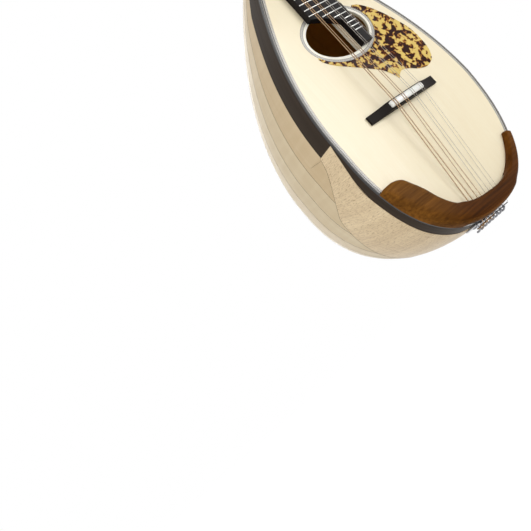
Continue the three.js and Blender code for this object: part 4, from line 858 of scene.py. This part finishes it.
# Nut, bridge and saddle
NUT_TOP = 8.2
nut_shape = [(-0.05, 0), (-0.05, 4.4), (-5.6, 4.4), (-7.6, 2.6), (-NUT_TOP, 1.2), (-NUT_TOP, 0)]
plate("nut_bone", (nut_shape, -NUT_WIDTH / 2, NUT_WIDTH / 2, SIDE_ON, 0.3), BONE, "bone", ("nut",))
BRIDGE_HALF = 49.5
BRIDGE_HALF_DEPTH = 4.1
BRIDGE_HEIGHT = 7.6
BRIDGE_END_HEIGHT = 2.2
SADDLE_HALF = 24
SADDLE_WIDTH = 5.7
SADDLE_HEIGHT = 3
FLAT_HALF = SADDLE_HALF + 1.6
bridge_half = []
for t in shares(24):
    first, middle, last = (1 - t) ** 2, 2 * (1 - t) * t, t * t
    x = first * FLAT_HALF + middle * (BRIDGE_HALF + FLAT_HALF) / 2 + last * BRIDGE_HALF
    bridge_half.append((x, -first * BRIDGE_HEIGHT - (middle * 1.15 + last) * BRIDGE_END_HEIGHT))
bridge_half.append((BRIDGE_HALF, -0.02))
bridge_ends = (BRIDGE_Z - BRIDGE_HALF_DEPTH, BRIDGE_Z + BRIDGE_HALF_DEPTH)
plate("bridge_body", (both_sides(bridge_half), *bridge_ends, END_ON, 0.35), BRIDGE_WOOD, "bridge_wood",
      ("bridge",))


def saddle_ring(x, height, width):
    top = -BRIDGE_HEIGHT - height
    half = [(-BRIDGE_HEIGHT + 0.02, 0.5), (top + height * 0.4, 0.5), (top + height * 0.12, 0.36), (top, 0.2)]
    section = [(half[0][0], -0.5)] + half + [(y, -z) for y, z in reversed(half[1:])]
    return [Vector((x, y, BRIDGE_Z + width * z)) for y, z in section]


saddle_end = [(1, 0.5, 0.78), (0.97, 0.85, 0.94), (0.94, 1, 1)]
skins("saddle_bone", [[
    saddle_ring(x * SADDLE_HALF, SADDLE_HEIGHT * height, SADDLE_WIDTH * width)
    for x, height, width in [(-x, *size) for x, *size in saddle_end] + saddle_end[::-1]
]], BONE, "bone", ("saddle",), 35)

# Strings
STRING_RADII = (0.44, 0.32, 0.19, 0.15)
STRING_TURNS = 2.6
HOOK_SPACING = 6
HOOK_ROOT = 4.2
HOOK_RADIUS = 0.9
TAIL_DROP = rim_drop_at(TAIL_Z)
PLATE_THICKNESS = 1.2
PLATE_Z = TAIL_Z - GAP - PLATE_THICKNESS
PLATE_TOP = TAIL_DROP + BOARD_THICKNESS + GAP
HEAD_PITCH = radians(12)
HEAD_THICKNESS = 15
HEAD_LENGTH = 165
NUT_LENGTH = 4.4
TUNER_PITCH = HEAD_LENGTH * 0.1394
FIRST_GEAR = HEAD_LENGTH * 0.3545
SHOULDER_HEIGHT = HEAD_LENGTH * 0.2667
ROW_HALF_SPACING = 14.2
ROW_LEAN = radians(5.75)
POST_RADIUS = 2.9
POST_FRONT = 14
POST_END = -HEAD_THICKNESS - POST_FRONT
EYELET = POST_END + POST_FRONT * 0.42
HEAD_FRAME = shift(0, -1, NUT_LENGTH) @ Matrix.Rotation(-HEAD_PITCH, 4, "X")
ROWS = {
    side: HEAD_FRAME
    @ shift(sign * ROW_HALF_SPACING, HEAD_THICKNESS, FIRST_GEAR + TUNER_PITCH * 1.5)
    @ Matrix.Rotation(-sign * ROW_LEAN, 4, "Y")
    for side, sign in (("bass", -1), ("treble", 1))
}


def gear_height(index):
    return (index - 1.5) * TUNER_PITCH


def hook_x(string):
    return (string - 3.5) * HOOK_SPACING


for string in range(8):
    course, pair = string // 2 - 1.5, string % 2 - 0.5
    radius = STRING_RADII[string // 2]
    nut_x, nut_y = course * 7 + pair * 2, -NUT_TOP - radius
    bridge_x, saddle_y = course * 13 + pair * 2.9, -BRIDGE_HEIGHT - SADDLE_HEIGHT - radius
    tail_x, tail_z = hook_x(string), PLATE_Z - radius - GAP
    if string < 4:
        row, sign, gear, wire, end, slot = ROWS["bass"], -1, string, COPPER_WOUND, COPPER_WOUND, "wound_string"
    else:
        row, sign, gear, wire, end, slot = ROWS["treble"], 1, 7 - string, STEEL, DARK_STEEL, "plain_string"
    points = [Vector(p) for p in (
        (tail_x, TAIL_DROP + 5.5, tail_z),
        (tail_x, TAIL_DROP + 1.5, tail_z),
        (tail_x, TAIL_DROP - radius * 0.2, PLATE_Z - radius),
        (tail_x, TAIL_DROP - radius - 0.2, TAIL_Z - 0.6),
        (tail_x + (bridge_x - tail_x) * 0.03, TAIL_DROP - radius - 0.8, TAIL_Z + 3),
        (bridge_x, saddle_y + 0.15, BRIDGE_Z - 1.6),
        (bridge_x, saddle_y, BRIDGE_Z),
        (bridge_x, saddle_y, BRIDGE_Z + 1.4),
        (nut_x, nut_y, 0.3),
        (nut_x, nut_y + 0.1, 1.6),
        (nut_x, nut_y + 1.2, 4.6),
    )]
    clear = POST_RADIUS * 0.9 + radius
    for share in shares(96):
        a = tau * STRING_TURNS * share
        level = EYELET + 2.2 * radius * STRING_TURNS * (share - 0.5)
        turn = Vector((-sign * clear * cos(a), level, gear_height(gear) + clear * sin(a)))
        points.append(row @ turn)
    skins(f"wire_{string + 1}", [tube_rings(points, radius)], wire, slot, (f"string_{string + 1}",), 60)
    loop_centre = Vector((tail_x, PLATE_TOP + HOOK_ROOT + 0.4, PLATE_Z - 1.4))
    loop = [loop_centre + Vector((1.35 * sin(a), -1.6 * cos(a), -0.5 * cos(a))) for a in around(40, 1)]
    root = Vector((tail_x, TAIL_DROP + 6, tail_z - 0.3))
    coil = radius * 0.9 + 0.12
    twist = [root + Vector((coil * cos(a * 7), -5.4 * a / tau, coil * sin(a * 7))) for a in around(60, 1)]
    # The cut end of each string stands out in its own direction.
    lean, reach = sin(4.1 * string + 1), 2.6 + 0.9 * sin(2.7 * string)
    cut_end = [
        root + Vector((1.5 * lean * t, (0.5 - lean) * reach * t * t, -reach * t)) for t in (0, 0.3, 0.6, 1)
    ]
    thin = max(radius * 0.7, 0.24)
    tubes = [tube_rings(loop, max(radius, 0.28), 8), tube_rings(twist, thin, 6), tube_rings(cut_end, thin, 6)]
    skins(f"loop_{string + 1}", tubes, end, slot, smooth=60)


# Tailpiece: plate on the tail, one hook for each string

def tail_surface(x, depth, inset):
    """The point of the bowl's end at a given X and depth under the rim."""
    def reaches(z):
        across = max(0.0, 1 - depth_share(z, depth) ** (2 / SECTION_POWER)) ** (SECTION_POWER / 2)
        return half_width_at(z) * across >= abs(x)

    z = first_place(TAIL_Z, WIDEST_Z, reaches)
    point = inset_point(z, angle_at_depth(z, depth), inset)
    return point if x < 0 else mirrored(point)


def tail_plate_point(down, column, inset):
    """Columns run from -10 to 10 across the plate, which narrows towards its lower end."""
    half = 25 * (1 - max(0.0, (down - 0.35) / 0.65) ** 2.6) ** 0.5 + 0.2
    return tail_surface(half * column / 10, 3.3 + 24.5 * down, inset)


TAIL_PLATE_FACE = -1.4
tail_plate = shell(shares(16), range(-10, 11), tail_plate_point, TAIL_PLATE_FACE, -0.25)
skins("tail_plate", [tail_plate], HOOK_CHROME, "chrome", ("tailpiece",), 40)
HOOK_PATH = [(0, 1.5), (0, -1.4), (0.5, -3), (2, -3.8), (3.6, -3.9), (5.2, -3.6)]
hook_lists = []
for string in range(8):
    root = Vector((hook_x(string), PLATE_TOP + HOOK_ROOT, PLATE_Z + PLATE_THICKNESS / 2))
    path = [root + Vector(p) for p in spline([(0, y, z) for y, z in HOOK_PATH], 30)]
    hook_lists.append(tube_rings(path, [HOOK_RADIUS] * 28 + [0.8, 0.6, 0.3], 12))
for x, depth in ((-16, 15), (16, 15), (-0.01, 21)):
    centre = tail_surface(x, depth, TAIL_PLATE_FACE)
    normal = (tail_surface(x, depth, TAIL_PLATE_FACE - 1) - centre).normalized()
    turn = Vector((0, 1, 0)).rotation_difference(normal).to_matrix().to_4x4()
    place = Matrix.Translation(centre) @ turn
    hook_lists.append(placed(turned_rings([(2.4, -0.2), (2.4, 0.2), (1.9, 0.7), (1, 1), (0.05, 1.1)]), place))
skins("hooks", hook_lists, HOOK_CHROME, "chrome", smooth=50)

# Armrest over the tail edge
ARM_WIDTH = 30
ARM_OVERHANG = 1.6
ARM_CROWN = 9.5
ARM_ARCH = 4.6
ARM_FOOT = 0.05
ARM_COLUMNS = 22
arm_width = smooth_value([(0, 0.72), (0.07, 0.88), (0.17, 0.93), (0.27, 0.8), (0.4, 0.62), (0.56, 0.52),
                          (0.72, 0.41), (0.88, 0.37), (1, 0.33)])
arm_height = smooth_value([(0, 0.5), (0.03, 0.72), (0.08, 0.88), (0.2, 1), (0.6, 0.98), (0.8, 0.84),
                           (0.985, 0.62), (1, 0.5)])
arm_shade = smooth_value([(0, 0.0), (0.15, 0.1), (0.3, 0.5), (0.45, 1), (0.75, 1), (1, 0.7)])


def tail_edge(turn, past=0.0):
    """The outline at a turn from the tail, negative on the bass side, or a little past it."""
    z = lower_z(max(0.0, pi / 2 - abs(turn) - past))
    return Vector((copysign(half_width_at(z), turn), 0, z))


def arm_ring(share):
    turn = radians(-71 + 126 * share)
    edge = tail_edge(turn)
    tangent = (tail_edge(turn, 0.02) - edge).normalized()
    inward = Vector((tangent.z, 0, -tangent.x))
    if inward.dot(Vector((0, 0, BRIDGE_Z)) - edge) < 0:
        inward = -inward
    tip = min(1.0, share / 0.05)
    width = ARM_WIDTH * arm_width(share) * (0.22 + 0.78 * sqrt(1 - (1 - tip) ** 2))
    overhang = ARM_OVERHANG - 2.4 * share * share
    # The band arches free of the strings near the middle.
    rise = min(1.0, max(0.0, (45 - abs(edge.x)) / 8))
    foot = ARM_FOOT + (ARM_ARCH - ARM_FOOT) * rise * rise * (3 - 2 * rise)
    ring = []
    for a in sweep(0, 180, ARM_COLUMNS):
        across = 0.5 - 0.5 * signed_power(cos(a), 0.72)
        height = foot + (ARM_CROWN * arm_height(share) - foot) * sin(a) ** 0.66
        point = edge + inward * (-overhang + (width + overhang) * across)
        ring.append(Vector((point.x, rim_drop_at(point.z) - height, point.z)))
    return ring


arm_shares = shares(120)
# The outer side is painted paler than the top, a painted highlight along the band's lower outer side.
arm_tones_and_highlight = [arm_shade(share) * (0.35 if k < 6 else 1) for share in arm_shares for k in range(ARM_COLUMNS + 1)]
skins("arm_band", [[arm_ring(share) for share in arm_shares]], ARM_WOOD, "rosewood", ("armrest",), 50,
      tones=[arm_tones_and_highlight])

# Neck and head
NECK_DEPTH = 14.2


def neck_ring(z, half, front, depth, power):
    return [Vector((
        -half * signed_power(cos(a), power), front + (depth - front) * abs(sin(a)) ** power, z
    )) for a in sweep(0, 180, 28)]


neck_depth = smooth_value([(0, 0), (0.3, 0.05), (0.6, 0.13), (0.8, 0.24), (0.92, 0.5), (1, 1)])
neck_rings = [neck_ring(NUT_LENGTH + 0.4, board_half_width(0), 0, NECK_DEPTH, 0.9)]
for along in shares(40):
    z = (HEEL_Z + 0.05) * along
    depth = NECK_DEPTH + (HEEL_DEPTH - NECK_DEPTH) * neck_depth(along)
    neck_rings.append(neck_ring(z, board_half_width(z), 0.02, depth, 0.9))
shoulder_side = spline([
    (x, SHOULDER_HEIGHT * share) for x, share in ((14.4, 0), (15.1, 0.2), (18.4, 0.46), (23.9, 0.78), (28.5, 1))
], 40)
shoulder_width = smooth_value([(z, x) for x, z in shoulder_side])
shoulder_depth = smooth_value([(0, 1), (0.15, 1.1), (0.3, 1.28), (0.5, 1.48), (0.75, 1.68), (1, 1.85)])
shoulder_power = smooth_value([(0, 0.9), (0.15, 0.88), (0.3, 0.84), (0.5, 0.76), (0.75, 0.55), (1, 0.2)])
shoulder_rings = []
for along in shares(32):
    height = SHOULDER_HEIGHT * along
    lean = tan(HEAD_PITCH) * height
    limit = -1.15 + HEAD_THICKNESS / cos(HEAD_PITCH) + lean
    ring = neck_ring(NUT_LENGTH + height, shoulder_width(height) - 0.7 * along, -0.9 + lean,
                     NECK_DEPTH * shoulder_depth(along), shoulder_power(along))
    shoulder_rings.append([Vector((p.x, min(p.y, limit), p.z)) for p in ring])
skins("neck", [neck_rings, shoulder_rings], NECK_MAPLE, "neck_wood", ("neck_and_head",), 35)

NOTCH = 18.3
BUMP = 21.6
CROWN_HALF = 28.6
SHOULDER_END = (27.4, SHOULDER_HEIGHT + TUNER_PITCH * 0.18)
HEAD_NECK = (19.4, HEAD_LENGTH * 0.845)
head_side = []
for index in range(4):
    notch = FIRST_GEAR + 7.6 + TUNER_PITCH * index
    widen = 0.019 * TUNER_PITCH * (4 - index)
    head_side.append((NOTCH + widen, notch))
    if index < 3:
        bump = ((0.9, 0.3), (0, 0.5), (1.1, 0.74))
        head_side += [(BUMP + widen - x, notch + TUNER_PITCH * up) for x, up in bump]
head_crown = [(CROWN_HALF * x, HEAD_LENGTH * z) for x, z in (
    (0.8, 0.872), (1, 0.915), (0.98, 0.95), (0.7, 0.963), (0.55, 0.962), (0.42, 0.985), (0.2, 0.999), (0, 1)
)]
head_half = [(shoulder_width(z), z) for z in (SHOULDER_HEIGHT * 0.95, SHOULDER_HEIGHT)]
head_half += spline([SHOULDER_END, *head_side, HEAD_NECK], 90) + spline([HEAD_NECK, *head_crown], 50)[1:-1]
head_shape = (both_sides(head_half, [(0, HEAD_LENGTH)]), 0.0, HEAD_THICKNESS, FACE_ON, 0.9)
plate("head", head_shape, NECK_MAPLE, "neck_wood", smooth=35, place=HEAD_FRAME)

# Tuner plates
TAB = 4.6
PLATE_HALF = 5.5
AXIS_Y = GAP + PLATE_THICKNESS + 3.6
WORM_LENGTH = 8.4
LUG_THICKNESS = 1.2
LUG_OFFSET = WORM_LENGTH / 2 + GAP + LUG_THICKNESS / 2
CENTRE_DISTANCE = 7.6


def arc(centre_z, radius, start, end, count):
    return [(radius * cos(a), centre_z + radius * sin(a)) for a in sweep(start, end, count)]


low_tab = gear_height(0) - TUNER_PITCH * 0.53
high_tab = gear_height(3) + TUNER_PITCH * 0.8
plate_line = [
    *arc(low_tab, TAB, 145, 395, 30), (PLATE_HALF, low_tab + TAB * 1.5), (PLATE_HALF, high_tab - TAB * 1.5),
    *arc(high_tab, TAB, -35, 215, 30), (-PLATE_HALF, high_tab - TAB * 1.5), (-PLATE_HALF, low_tab + TAB * 1.5),
]
LUG_SECTION = [(3, -3.8), *arc(0, 3, -20, 200, 20), (-3, -3.8)]


def screw_rings(radius, height):
    profile = ((1, 0), (1, 0.35), (0.8, 0.8), (0.4, 1))
    return turned_rings([(radius * r, height * h) for r, h in profile] + [(0.05, height * 1.03)])


SCREW_HEIGHT = 1.1
plate_screw = screw_rings(2.3, SCREW_HEIGHT)
# Each screw's slot is a dark bar on its head, painted shade where the slot's recess would be.
slot_corners = ((-1.9, -0.22), (1.9, -0.22), (1.9, 0.22), (-1.9, 0.22))
screw_slot = [[Vector((x, SCREW_HEIGHT * share, z)) for x, z in slot_corners] for share in (0.5, 1.04)]
lug_pair = [
    [[Vector((offset + x, v, u)) for u, v in LUG_SECTION] for x in (-LUG_THICKNESS / 2, LUG_THICKNESS / 2)]
    for offset in (-LUG_OFFSET, LUG_OFFSET)
]
for side, row in ROWS.items():
    plate("plate_" + side, (plate_line, GAP, GAP + PLATE_THICKNESS, FACE_ON, 0.25), CHROME, "chrome",
          ("tuner_plate_" + side,), 35, place=row)
    lugs, screws, slots = [], [], []
    between = [gear_height(k) + CENTRE_DISTANCE * 0.5 + TUNER_PITCH * 0.5 for k in range(3)]
    for k, height in enumerate([low_tab, high_tab, *between]):
        place = row @ shift(0, GAP + PLATE_THICKNESS, height) @ Matrix.Rotation(0.7 * k + 0.3, 4, "Y")
        screws.append(placed(plate_screw, place))
        slots.append(placed(screw_slot, place))
    for k in range(4):
        lugs += [placed(lug, row @ shift(0, AXIS_Y, gear_height(k) + CENTRE_DISTANCE)) for lug in lug_pair]
    skins("lugs_" + side, lugs, CHROME, "chrome", smooth=35)
    skins("screws_" + side, screws, CHROME, "chrome", smooth=40)
    skins("slots_" + side, slots, DARK_METAL, "chrome", smooth=0)

# Worms, gears, posts and buttons
GEAR_TEETH = 14
GEAR_RADIUS = 5
GEAR_THICKNESS = 4.4
GEAR_BACK = AXIS_Y + GEAR_THICKNESS / 2
WORM_RADIUS = 2.6
WORM_ROOT = 1.7
WORM_TIP = 3.0
WORM_PITCH = tau * GEAR_RADIUS / GEAR_TEETH
LEAD = WORM_PITCH / (tau * WORM_RADIUS)
WORM_STEPS = 96
BUTTON_CENTRE = 26.4
BUTTON_LENGTH = 15.5
BUTTON_HALF_WIDTH = 6.75
BUTTON_HALF_THICKNESS = 3.2
STEM_END = BUTTON_CENTRE - BUTTON_LENGTH / 2 - GAP


SHAFT_START = -LUG_OFFSET - 1.2
SHAFT_COLLAR = LUG_OFFSET + 0.9
shaft = placed(turned_rings([
    (0.05, SHAFT_START), (1.2, SHAFT_START), (1.4, SHAFT_START + 0.2), (1.4, -WORM_LENGTH / 2),
    (1.95, -WORM_LENGTH / 2), (1.95, WORM_LENGTH / 2), (1.4, WORM_LENGTH / 2), (1.4, SHAFT_COLLAR),
    (2.25, SHAFT_COLLAR), (2.3, SHAFT_COLLAR + 0.5), (2.25, SHAFT_COLLAR + 1.2), (1.7, SHAFT_COLLAR + 1.6),
    (1.4, SHAFT_COLLAR + 2.6), (1.5, SHAFT_COLLAR + 4.5), (1.8, STEM_END - 1.6), (2.3, STEM_END - 1.2),
    (2.35, STEM_END - 0.2), (2.2, STEM_END), (0.05, STEM_END),
]), axes((0, 1, 0), (1, 0, 0), (0, 0, -1)))
thread = []
for i in range(WORM_STEPS + 1):
    turn = (i / WORM_STEPS - 0.5) * (WORM_LENGTH / WORM_PITCH - 0.6)
    fade = min(1.0, min(i, WORM_STEPS - i) / 14 + 0.15)
    tip = WORM_ROOT + (WORM_TIP - WORM_ROOT) * fade
    half = [(-0.21 * WORM_PITCH, WORM_ROOT), (-0.08 * WORM_PITCH - 0.06, tip - 0.1), (-0.04 * WORM_PITCH, tip)]
    thread.append([
        Vector((turn * WORM_PITCH + x, radius * sin(turn * tau), -radius * cos(turn * tau)))
        for x, radius in both_sides(half)
    ])
TOOTH = ((-0.26, 4.2), (-0.13, 5.2), (-0.08, 5.45), (0.08, 5.45), (0.13, 5.2), (0.26, 4.2), (0.5, 4.15))
wheel = []
for level in np.linspace(-0.5, 0.5, 9):
    y = level * GEAR_THICKNESS
    edge = 0.35 * max(0.0, abs(level) - 0.42) / 0.08
    ring = []
    for tooth in range(GEAR_TEETH):
        for share, radius in TOOTH:
            a = (tooth + 0.5 + share) / GEAR_TEETH * tau + y * LEAD / GEAR_RADIUS
            ring.append(Vector(((radius - edge) * sin(a), y, (radius - edge) * cos(a))))
    wheel.append(ring)
GEAR_FRONT = AXIS_Y - GEAR_THICKNESS / 2
post = turned_rings([
    (0.05, POST_END), (1.9, POST_END), (2.4, POST_END + 0.35), (POST_RADIUS, POST_END + 1.1),
    (POST_RADIUS, EYELET - 2.9), (2.6, EYELET - 1.4), (2.5, EYELET), (2.6, EYELET + 1.4),
    (POST_RADIUS, EYELET + 2.9), (POST_RADIUS, GEAR_FRONT - 1.0), (3.7, GEAR_FRONT - 0.95),
    (3.7, GEAR_FRONT - 0.35), (2.2, GEAR_FRONT - 0.3), (2.2, GEAR_BACK - 0.3), (0.05, GEAR_BACK - 0.3),
], 28)
button_wide = smooth_value([(-0.5, 0.2), (-0.46, 0.42), (-0.3, 0.84), (-0.05, 1), (0.2, 0.94), (0.4, 0.66),
                            (0.5, 0.24)])
button_thick = smooth_value([(-0.5, 0.4), (-0.46, 0.62), (-0.3, 0.8), (-0.05, 1), (0.2, 0.92), (0.4, 0.66),
                             (0.5, 0.3)])
button = []
for i in range(31):
    along = -0.5 * cos(pi * i / 30)
    rim = 0.55 if i in (0, 30) else 1.0
    wide = button_wide(along) * BUTTON_HALF_WIDTH * rim
    thick = button_thick(along) * BUTTON_HALF_THICKNESS * rim
    x = BUTTON_CENTRE + along * BUTTON_LENGTH
    button.append([
        Vector((x, signed_power(sin(a), 0.9) * thick, signed_power(cos(a), 0.9) * wide)) for a in around(36)
    ])

for side, row in ROWS.items():
    for k in range(4):
        label = f"{side}_{k + 1}"
        key, gear_body = "key_" + label, "post_gear_" + label
        gear_place = row @ shift(0, 0, gear_height(k))
        worm_place = gear_place @ shift(0, AXIS_Y, CENTRE_DISTANCE)
        if side == "bass":
            worm_place = worm_place @ Matrix.Rotation(pi, 4, "Z")
        wheel_place = gear_place @ shift(0, AXIS_Y, 0)
        cap_place = gear_place @ shift(0, GEAR_BACK - 0.05, 0)
        for name, place, lists, *finish, body in (
            ("shaft_", worm_place, [shaft, thread], CHROME, "worm_steel", ("worm_" + label,), 50, key),
            ("knob_", worm_place, [button], IVORY, "ivory", ("button_" + label,), 60, key),
            ("wheel_", wheel_place, [wheel], BRASS, "gear_brass", ("gear_" + label,), 35, gear_body),
            ("pin_", gear_place, [post], STEEL, "post_steel", ("post_" + label,), 35, gear_body),
            ("cap_", cap_place, [screw_rings(3.3, 0.5)], DARK_METAL, "gear_brass", (), 40, gear_body),
        ):
            skins(name + label, [placed(rings, place) for rings in lists], *finish, body)

# Blocks at the neck and the tail keep their shape and get raw wood.
for node in ("neck_block", "tail_block"):
    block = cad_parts[node]
    block.data.materials.clear()
    block.data.materials.append(RAW_WOOD)

# Floor, light and camera
FLOOR_Z = TAIL_Z - 60
FLOOR_REACH = 6.0
WHITE = "ffffff"
floor_mesh = bpy.data.meshes.new("floor")
floor_mesh.from_pydata([
    (x * FLOOR_REACH, y * FLOOR_REACH, FLOOR_Z * MM) for x, y in ((-1, -1), (1, -1), (1, 1), (-1, 1))
], [], [(0, 1, 2, 3)])
floor = new_object("floor", floor_mesh)
shader = Shader("pale_floor")
grain = shader.noise(3, detail=2)
shader.set(color=shader.mix(grain, "ececec", "e8e8e8"), roughness=0.9, specular=0.0)
shade = shader.add("BsdfDiffuse", {"Color": "969696"})
glow = shader.add("Emission", {"Color": WHITE, "Strength": 0.92})
lit = shader.add("AddShader", {0: shade.outputs[0], 1: glow.outputs[0]})
shader.show(shader.bsdf, lit, "Material Output")
floor_mesh.materials.append(shader.owner)


def area_light(name, place, aim, size, power):
    """A square light at a place in metres, aimed at another."""
    data = bpy.data.lights.new(name, "AREA")
    data.shape = "RECTANGLE"
    data.size = data.size_y = size
    data.energy = power
    light = new_object(name, data)
    light.location = place
    light.rotation_euler = (Vector(aim) - Vector(place)).to_track_quat("-Z", "Y").to_euler()
    light.visible_camera = False


BODY_CENTRE = (0, 0.05, -0.3)
area_light("key_light", (1.1, -1.6, -0.1), BODY_CENTRE, 0.9, 14)
area_light("fill_light", (-0.9, -1.7, 0.5), BODY_CENTRE, 1.8, 5.5)
area_light("side_light", (-2.0, -0.25, -0.4), BODY_CENTRE, 1.6, 21)
area_light("back_light", (1.2, 1.9, 0.3), BODY_CENTRE, 1.8, 9.5)
area_light("neck_light", (1.0, 1.1, 0.5), (0, 0.02, 0), 1.0, 3.3)

# The world lights the object softly, and rays that see it straight on find plain white.
world = Shader("studio", bpy.data.worlds)
bpy.context.scene.world = world.owner
soft = world.nodes["Background"]
world.give(soft.inputs["Color"], WHITE)
world.give(soft.inputs["Strength"], 0.45)
white = world.add("Background", {"Color": WHITE, "Strength": 1.0})
world.show(soft, white, "World Output")

camera_data = bpy.data.cameras.new("camera")
camera_data.sensor_width = 36
camera_data.lens = 69.7428
camera = new_object("camera", camera_data)
camera.location = (-0.68732, -0.56458, -0.46203)
camera.rotation_euler = [radians(a) for a in (99.11414, 41.42451, -32.81115)]
bpy.context.scene.camera = camera
bpy.context.scene.view_settings.view_transform = "Standard"
